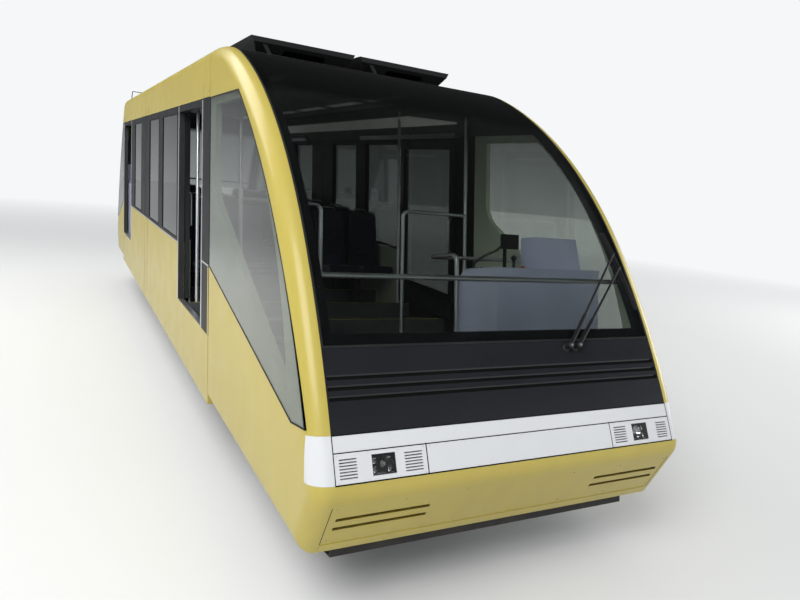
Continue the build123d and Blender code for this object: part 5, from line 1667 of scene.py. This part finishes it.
    def _fit(self, mesh: bpy.types.Mesh, still: list[Vector], size: Point,
             channels: tuple[float, ...]) -> None:
        """Hold a blown form to its cap and its room, and draw its sewn channels in.

        Args:
            mesh: The blown form, changed in place.
            still: Each point before the simulation.
            size: Width, length and thickness of the room.
            channels: Shares of the length at which channels are sewn.
        """
        low = Vector((-size[0] / 2, 0.0, 0.0))
        high = Vector((size[0] / 2, size[1], size[2]))
        for vertex, before in zip(mesh.vertices, still):
            move = vertex.co - before
            if move.length > self.cap:
                vertex.co = before + move * (self.cap / move.length)
            for axis in range(3):
                vertex.co[axis] = min(max(vertex.co[axis], low[axis] + self.margin), high[axis] - self.margin)
            share = vertex.co.z / size[2]
            for spot in channels:
                away = (vertex.co.y - spot * size[1]) / self.channel
                vertex.co.z -= self.channel_depth * math.exp(-away * away) * max(0.0, (share - 0.5) * 2)

    def _seat(self, name: str, form: bpy.types.Mesh, place: Matrix, node: str) -> None:
        """Set a copy of a padded form on the car.

        Args:
            name: Name of the piece.
            form: The padded form in its own frame.
            place: Where its frame stands.
            node: The frame's node that it stands for.
        """
        piece = Piece(name)
        piece.mesh.from_mesh(form)
        own = piece.mesh.verts.layers.float_vector.new("pad_place")
        for vertex in piece.mesh.verts:
            vertex[own] = vertex.co
        bmesh.ops.transform(piece.mesh, matrix=place, verts=piece.mesh.verts)
        item = piece.finish(self.finishes["seat_cloth"], slot="fabric", smooth_under=80.0)
        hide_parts(node)

    def _shells(self, row: int, front: float, level: float, tall: float) -> None:
        """The back shells, piping and grab handles of one row.

        Args:
            row: Number of the row.
            front: Station of the cushions' front edges.
            level: Height of the floor tread.
            tall: Length of the backs.
        """
        names = ("seat_shells", "seat_piping", "seat_grips")
        shells, piping, grips = (Piece(f"{name}_row{row}") for name in names)
        for hand in (-1, 1):
            for inner, outer in self.columns:
                half = (outer - inner) / 2
                back = self._back_place(hand * (inner + outer) / 2, front, level)
                self._shell(shells, back, half, tall)
                rim = self.back_pad - self.shell - self.piping_back
                outline = [back @ Vector((x * self.piping_share, y - self.piping_down, rim))
                           for x, y in self._outline(half, tall)]
                piping.pipe(outline, self.piping, sides=6)
                arch = [back @ Vector((x, tall + up, -self.shell - self.grip_off)) for x, up in self.grip]
                grips.pipe(arch, self.grip_radius, sides=10)
        shells.finish(self.finishes["black_plastic"], slot="rubber", bevel=0.002)
        piping.finish(self.finishes["rubber"], slot="rubber", smooth_under=70.0)
        grips.finish(self.finishes["steel"], slot="steel", smooth_under=70.0)

    def _shell(self, piece: Piece, back: Matrix, half: float, tall: float) -> None:
        """One back shell with round top corners.

        Args:
            piece: The piece that takes it.
            back: Where the back's frame stands.
            half: Half its width.
            tall: Length of the back.
        """
        short = self.shell_short
        corners = piece.block((-half + short, short, -self.shell), (half - short, tall - short, 0.0), back)
        own = {corner: back.inverted() @ corner.co for corner in corners}
        edges = dict.fromkeys(edge for corner in corners for edge in corner.link_edges)
        upright = [edge for edge in edges if all(own[vertex].y > tall / 2 for vertex in edge.verts)
                   and abs(own[edge.verts[0]].x - own[edge.verts[1]].x) < half]
        self._round(piece.mesh, upright, self.shoulder, self.shoulder_steps)

    def _outline(self, half: float, tall: float) -> list[Span]:
        """The line of the piping up one edge of a back, over its top and down the other."""
        bend = self.shoulder * self.piping_bend
        left = [(-half, self.piping_foot), (-half, tall - self.shoulder), (-half + bend, tall - bend),
                (-half + self.shoulder, tall)]
        return left + [(-x, y) for x, y in reversed(left)]


@dataclass
class Cabin:
    """The lining's coves, header panels, ceiling lights, tread nosings and the drivers' controls."""

    finishes: Finishes
    run: tuple[float, ...] = (4.100, -1.900, -2.780)
    cove: tuple[Span, Span] = ((1.262, 3.165), (1.150, 3.265))
    cove_thickness: float = 0.006
    cove_end: float = 0.15
    header: Span = (1.262, 1.266)
    header_up: Span = (3.046, 3.169)
    header_run: Span = (-2.980, 4.200)
    ceiling_up: float = 3.3686
    light_rows: Span = (-0.62, 0.62)
    light_spots: tuple[float, ...] = (-2.35, -1.22, -0.09, 1.04, 2.17, 3.30)
    light_half: Span = (0.050, 0.440)
    light_depth: float = 0.006
    light_rim: Span = (0.051, 0.062)
    light_rim_along: Span = (0.441, 0.452)
    light_rim_depth: float = 0.009
    treads: range = range(2, 14)
    grip_half: float = 1.215
    grip_run: Span = (0.002, 0.042)
    grip: float = 0.003
    desk_levels: dict[End, float] = field(default_factory=lambda: {End.LOWER: 1.021, End.UPPER: 2.881})
    # Spots on the lower desk: across, station, height above it; the upper desk mirrors them
    first_button: Span = (0.36, -4.52)
    button_pitch: Span = (0.055, 0.07)
    button_count: tuple[int, int] = (7, 3)
    button: Boss = (0.012, 0.010, 0.010)
    button_ring: Boss = (0.016, 0.003, 0.015)
    stop_spot: Point = (0.785, -4.48, 0.0)
    stop: Boss = (0.022, 0.030, 0.019)
    lever: tuple[Point, ...] = ((0.79, -4.36, 0.0), (0.79, -4.36, 0.09))
    lever_radius: float = 0.012
    knob_spot: Point = (0.79, -4.36, 0.10)
    knob: float = 0.024
    neck: tuple[Point, ...] = ((0.33, -4.44, -0.01), (0.35, -4.45, 0.05), (0.41, -4.49, 0.10),
                               (0.48, -4.54, 0.14), (0.54, -4.59, 0.20))
    neck_radius: float = 0.009
    dial_spots: tuple[Point, ...] = ((0.90, -4.40, 0.15), (1.02, -4.40, 0.15), (1.14, -4.40, 0.15))
    dial: Boss = (0.042, 0.006, 0.040)
    dial_glass: Span = (0.035, 0.003)
    dial_glass_off: float = 0.005
    monitor_spot: Point = (0.560, -4.585, 0.205)
    monitor_half: Span = (0.066, 0.046)
    monitor_depth: float = 0.0015

    def build(self) -> None:
        """Make the cabin's fittings."""
        self._coves()
        self._lights()
        self._nosings()
        for end in End:
            self._controls(end)

    def _coves(self) -> None:
        """The pale slanting coves above the side windows, which glow faintly as painted light, and the grey
        panels over the doors.
        """
        for side in Side:
            piece = Piece(f"ceiling_cove_{side.label}")
            (x0, up0), (x1, up1) = self.cove
            middle_x, middle_up = side.value * (x0 + x1) / 2, (up0 + up1) / 2
            facing = Vector((-side.value * (up1 - up0), 0.0, x1 - x0))
            line = [Vector((middle_x, y, rail(y) + middle_up)) for y in self.run]
            places = through(line, facing)
            drop = Vector((side.value * (x0 - x1) / 2, 0.0, (up0 - up1) / 2)) * (1 - self.cove_end)
            narrow = Matrix.Diagonal((self.cove_end, 1.0, 1.0, 1.0))
            places[-1] = Matrix.Translation(drop) @ places[-1] @ narrow
            piece.strip(places, math.hypot(x1 - x0, up1 - up0), self.cove_thickness)
            piece.finish(self.finishes["cove_white"], slot="lining", bevel=0.001)
            header = Piece(f"door_header_panel_{side.label}")
            header.wall_bar(side, self.header_run, self.header_up, self.header)
            header.finish(self.finishes["header_grey"], slot="lining", bevel=0.001)

    def _lights(self) -> None:
        """Long diffusers in thin frames under the ceiling panel."""
        panes, rims = Piece("ceiling_lights"), Piece("ceiling_light_frames")
        head = self.ceiling_up
        half_x, half_y = self.light_half
        inner, reach = self.light_rim[0], self.light_rim_along[1]
        for x in self.light_rows:
            for y in self.light_spots:
                panes.slant((x - half_x, y - half_y, head - self.light_depth), (x + half_x, y + half_y, head))
                foot = head - self.light_rim_depth
                for hand in (-1, 1):
                    x0, x1 = mirrored(hand, self.light_rim)
                    rims.slant((x + x0, y - reach, foot), (x + x1, y + reach, head))
                    y0, y1 = mirrored(hand, self.light_rim_along)
                    rims.slant((x - inner, y + y0, foot), (x + inner, y + y1, head))
        panes.finish(self.finishes["cove_white"], slot="lamp_glass", bevel=0.002)
        rims.finish(self.finishes["aluminium"], slot="aluminium", bevel=0.001)

    def _nosings(self) -> None:
        """Yellow grip strips on the edge of every tread."""
        piece = Piece("tread_nosings")
        near, far = self.grip_run
        for index in self.treads:
            y = BODY.nosing(index)
            level = rail(y) + BODY.boarding_up
            piece.block((-self.grip_half, y + near, level), (self.grip_half, y + far, level + self.grip))
        piece.finish(self.finishes["grip_yellow"], slot="floor", bevel=0.001)

    def _controls(self, end: End) -> None:
        """The screen, buttons, dials and handles of one driver's console."""
        hand = -end.value
        level = Matrix.Translation((0.0, 0.0, self.desk_levels[end]))
        place = level @ Matrix.Diagonal((hand, hand, 1.0, 1.0))
        names = ("console_buttons", "console_stop_button", "console_dials", "monitor_screen")
        dark, red, bright, screen = (Piece(f"{name}_{end.label}") for name in names)
        self._buttons(place, dark, bright)
        red.disc(place @ Matrix.Translation(self.stop_spot), *self.stop, sides=18)
        dark.pipe([place @ Vector(spot) for spot in self.lever], self.lever_radius)
        knob = place @ Matrix.Translation(self.knob_spot)
        bmesh.ops.create_uvsphere(dark.mesh, u_segments=14, v_segments=10, radius=self.knob, matrix=knob)
        dark.pipe([place @ Vector(spot) for spot in self.neck], self.neck_radius)
        facing = Matrix.Rotation(math.radians(-90), 4, "X")
        for spot in self.dial_spots:
            face = place @ Matrix.Translation(spot) @ facing
            bright.disc(face, *self.dial, sides=24)
            glass = lifted(face, self.dial_glass_off)
            dark.disc(glass, *self.dial_glass, sides=24)
        wide, tall = self.monitor_half
        back_face = place @ Matrix.Translation(self.monitor_spot) @ facing
        screen.block((-wide, -tall, 0.0), (wide, tall, self.monitor_depth), back_face)
        screen.finish(self.finishes["lamp_glass"], slot="lamp_glass")
        dark.finish(self.finishes["black_plastic"], slot="rubber", smooth_under=50.0)
        red.finish(self.finishes["signal_red"], slot="rubber", bevel=0.003)
        bright.finish(self.finishes["aluminium"], slot="aluminium", smooth_under=50.0)

    def _buttons(self, place: Matrix, dark: Piece, bright: Piece) -> None:
        """Rows of round buttons in bright rings, with a place left empty here and there.

        Args:
            place: Where the desk's frame stands.
            dark: The piece that takes the buttons.
            bright: The piece that takes the rings.
        """
        (x, y), (step_x, step_y), (columns, rows) = self.first_button, self.button_pitch, self.button_count
        for row in range(rows):
            for column in range(columns):
                if (row * 3 + column) % 5 == 4:
                    continue
                spot = place @ Matrix.Translation((x + step_x * column, y + step_y * row, 0.0))
                dark.disc(spot, *self.button, sides=12)
                bright.disc(spot, *self.button_ring, sides=12)


@dataclass
class RunningGear:
    """Bolted hub caps on both wheelsets and bolted covers on the axle boxes."""

    finishes: Finishes
    stations: dict[End, float] = field(default_factory=lambda: {End.LOWER: -2.8, End.UPPER: 2.8})
    axle_shift: float = -0.0671
    axle_up: float = 0.3435
    hub_faces: dict[Side, float] = field(default_factory=lambda: {Side.LEFT: 0.628, Side.RIGHT: 0.661})
    box_face: float = 0.872
    cover: Boss = (0.086, 0.012, 0.080)
    cap: Boss = (0.045, 0.006, 0.040)
    # Radius of the ring, number of bolts, radius of a head and its height
    hub_ring: tuple[float, int, float, float] = (0.088, 8, 0.011, 0.012)
    cover_ring: tuple[float, int, float, float] = (0.066, 6, 0.009, 0.009)
    cover_ring_off: float = 0.011

    def build(self) -> None:
        """Make the caps, covers and bolts at both axles."""
        for end, station in self.stations.items():
            axle = Vector((0.0, station + self.axle_shift, rail(station) + self.axle_up))
            caps = Piece(f"hub_bolts_{end.label}")
            covers = Piece(f"axle_covers_{end.label}")
            bolts = Piece(f"axle_cover_bolts_{end.label}")
            for side in Side:
                turn = Matrix.Rotation(math.radians(90) * side.value, 4, "Y")
                hub_spot = axle + Vector((side.value * self.hub_faces[side], 0.0, 0.0))
                self._ring(caps, Matrix.Translation(hub_spot) @ turn, *self.hub_ring)
                box_spot = axle + Vector((side.value * self.box_face, 0.0, 0.0))
                box = Matrix.Translation(box_spot) @ turn
                covers.disc(box, *self.cover, sides=36)
                covers.disc(lifted(box, self.cover[1]), *self.cap, sides=28)
                self._ring(bolts, lifted(box, self.cover_ring_off), *self.cover_ring)
            caps.finish(self.finishes["steel"], f"wheelset_{end.label}", "steel", bevel=0.0008)
            covers.finish(self.finishes["frame_paint"], slot="frame_paint", bevel=0.0015)
            bolts.finish(self.finishes["steel"], slot="steel", bevel=0.0008)

    @staticmethod
    def _ring(piece: Piece, place: Matrix, reach: float, count: int, radius: float, depth: float) -> None:
        """A ring of hexagon bolt heads round an axis.

        Args:
            piece: The piece that takes them.
            place: Where the ring stands, its axis along Z.
            reach: Radius of the ring.
            count: Number of bolts.
            radius: Radius of a head.
            depth: Height of a head.
        """
        for step in range(count):
            turn = Matrix.Rotation(math.tau * step / count, 4, "Z")
            piece.disc(place @ turn @ Matrix.Translation((reach, 0.0, 0.0)), radius, depth, sides=6)


@dataclass
class Studio:
    """A pale sloping floor, soft lamps, a white surround and the camera of the photograph."""

    eye: Point = (-2.495, -8.56, 0.829)
    yaw: float = 28.18
    pitch: float = 0.60
    roll: float = 0.71
    lens: float = 29.25
    floor_drop: float = 0.031
    floor_half: float = 60.0
    daylight: float = 0.66
    horizon: float = 0.90
    zenith: float = 0.03
    fade_end: float = 0.36
    sky: tuple[float, ...] = (0.94, 0.97, 1.0, 1.0)
    backdrop: tuple[float, ...] = (0.92, 0.93, 0.94, 1.0)
    clear_floor: Span = (9.0, 26.0)

    def build(self) -> None:
        """Make the floor, the surround, the lamps and the camera."""
        self._floor()
        self._surround()
        self._lamps()
        self._camera()

    def _floor(self) -> None:
        """A plain pale floor under the wheels, at the slope of the track."""
        mesh = bmesh.new()
        bmesh.ops.create_grid(mesh, x_segments=1, y_segments=1, size=self.floor_half)
        bmesh.ops.rotate(mesh, verts=mesh.verts, matrix=Matrix.Rotation(SLOPE, 3, "X"))
        bmesh.ops.translate(mesh, verts=mesh.verts, vec=(0.0, 0.0, -self.floor_drop))
        data = bpy.data.meshes.new("floor")
        mesh.to_mesh(data)
        mesh.free()
        tree = NodeTree("studio_floor")
        ground = tree.add("ShaderNodeBsdfPrincipled", Roughness=0.9, Specular_IOR_Level=0.1,
                          Base_Color=(0.70, 0.70, 0.69, 1.0))
        pale = tree.add("ShaderNodeEmission", Strength=1.0, Color=self.backdrop)
        away = tree.add("ShaderNodeVectorMath", operation="LENGTH",
                        Vector=tree.add("ShaderNodeTexCoord").outputs["Object"])
        path = tree.add("ShaderNodeLightPath").outputs
        viewed = tree.calculate("MAXIMUM", path["Is Camera Ray"], path["Is Transmission Ray"])
        far = tree.span(away.outputs["Value"], *self.clear_floor, 0.0, 1.0)
        share = tree.calculate("MULTIPLY", viewed, far)
        both = tree.blend(share, ground.outputs["BSDF"], pale.outputs["Emission"])
        data.materials.append(tree.finish(both))
        floor = bpy.data.objects.new("studio_floor", data)
        bpy.context.scene.collection.objects.link(floor)

    def _surround(self) -> None:
        """A soft world: even light, pale to the eye; gloss and glass see it pale low down, dark above."""
        tree = NodeTree("surround", world=True)
        split = tree.add("ShaderNodeSeparateXYZ", Vector=tree.add("ShaderNodeTexCoord").outputs["Generated"])
        fade = tree.span(split.outputs["Z"], 0.0, self.fade_end, self.horizon, self.zenith)
        lights = ((self.sky, self.daylight), (self.sky, fade), (self.backdrop, 1.0))
        lit, gloss, seen = (tree.add("ShaderNodeBackground", Color=colour, Strength=strength).outputs[0]
                            for colour, strength in lights)
        path = tree.add("ShaderNodeLightPath").outputs
        either = tree.calculate("MAXIMUM", path["Is Glossy Ray"], path["Is Transmission Ray"])
        surround = tree.blend(path["Is Camera Ray"], tree.blend(either, lit, gloss), seen)
        bpy.context.scene.world = tree.finish(surround)

    def _lamps(self) -> None:
        """Three large soft lamps."""
        lamps = (
            # name, place, aimed at, size in metres, watts
            ("lamp_key", (-9.0, -13.0, 9.0), (0.0, -2.0, 1.5), 8.0, 1750.0),
            ("lamp_fill", (20.0, -5.0, 5.0), (0.0, -1.0, 1.2), 8.0, 1300.0),
            ("lamp_top", (-6.0, 2.0, 10.0), (0.0, 0.0, 1.0), 7.0, 700.0),
        )
        for name, place, aim, size, watts in lamps:
            data = bpy.data.lights.new(name, "AREA")
            data.shape = "SQUARE"
            data.size = size
            data.energy = watts
            lamp = bpy.data.objects.new(name, data)
            lamp.location = place
            lamp.rotation_euler = (Vector(aim) - Vector(place)).to_track_quat("-Z", "Y").to_euler()
            bpy.context.scene.collection.objects.link(lamp)

    def _camera(self) -> None:
        """The photograph's camera: place, direction and lens."""
        yaw, pitch, roll = (math.radians(angle) for angle in (self.yaw, self.pitch, self.roll))
        level = Vector((math.sin(yaw), math.cos(yaw), 0.0))
        right = Vector((math.cos(yaw), -math.sin(yaw), 0.0))
        ahead = math.cos(pitch) * level - math.sin(pitch) * Vector((0.0, 0.0, 1.0))
        up = right.cross(ahead)
        turned_right = math.cos(roll) * right + math.sin(roll) * up
        turned_up = math.cos(roll) * up - math.sin(roll) * right
        axes = Matrix((turned_right, turned_up, -ahead)).transposed()
        data = bpy.data.cameras.new("camera")
        data.sensor_width = 36.0
        data.lens = self.lens
        data.clip_start = 0.05
        data.clip_end = 400.0
        camera = bpy.data.objects.new("camera", data)
        camera.matrix_world = Matrix.Translation(self.eye) @ axes.to_4x4()
        bpy.context.scene.collection.objects.link(camera)
        bpy.context.scene.camera = camera


def main() -> None:
    """Load the frame, dress it, add every sub-assembly's pieces and set the scene."""
    logging.basicConfig(level=logging.INFO, format="%(name)s: %(message)s")
    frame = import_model()
    finishes = Finishes()
    Shell(finishes, frame).dress()
    Studio().build()
    sub_assemblies = (Windscreens(finishes), SideGlazing(finishes, frame["nodes"]), LampBands(finishes),
                      Skirts(finishes), WiperDetails(finishes), HoodDetails(finishes), DoorDetails(finishes),
                      SideTrim(finishes), Seats(finishes), Cabin(finishes), RunningGear(finishes))
    for sub_assembly in sub_assemblies:
        sub_assembly.build()
        LOG.info("%s built", type(sub_assembly).__name__)
    bpy.context.scene.view_settings.view_transform = "Standard"


if __name__ == "__main__":
    main()
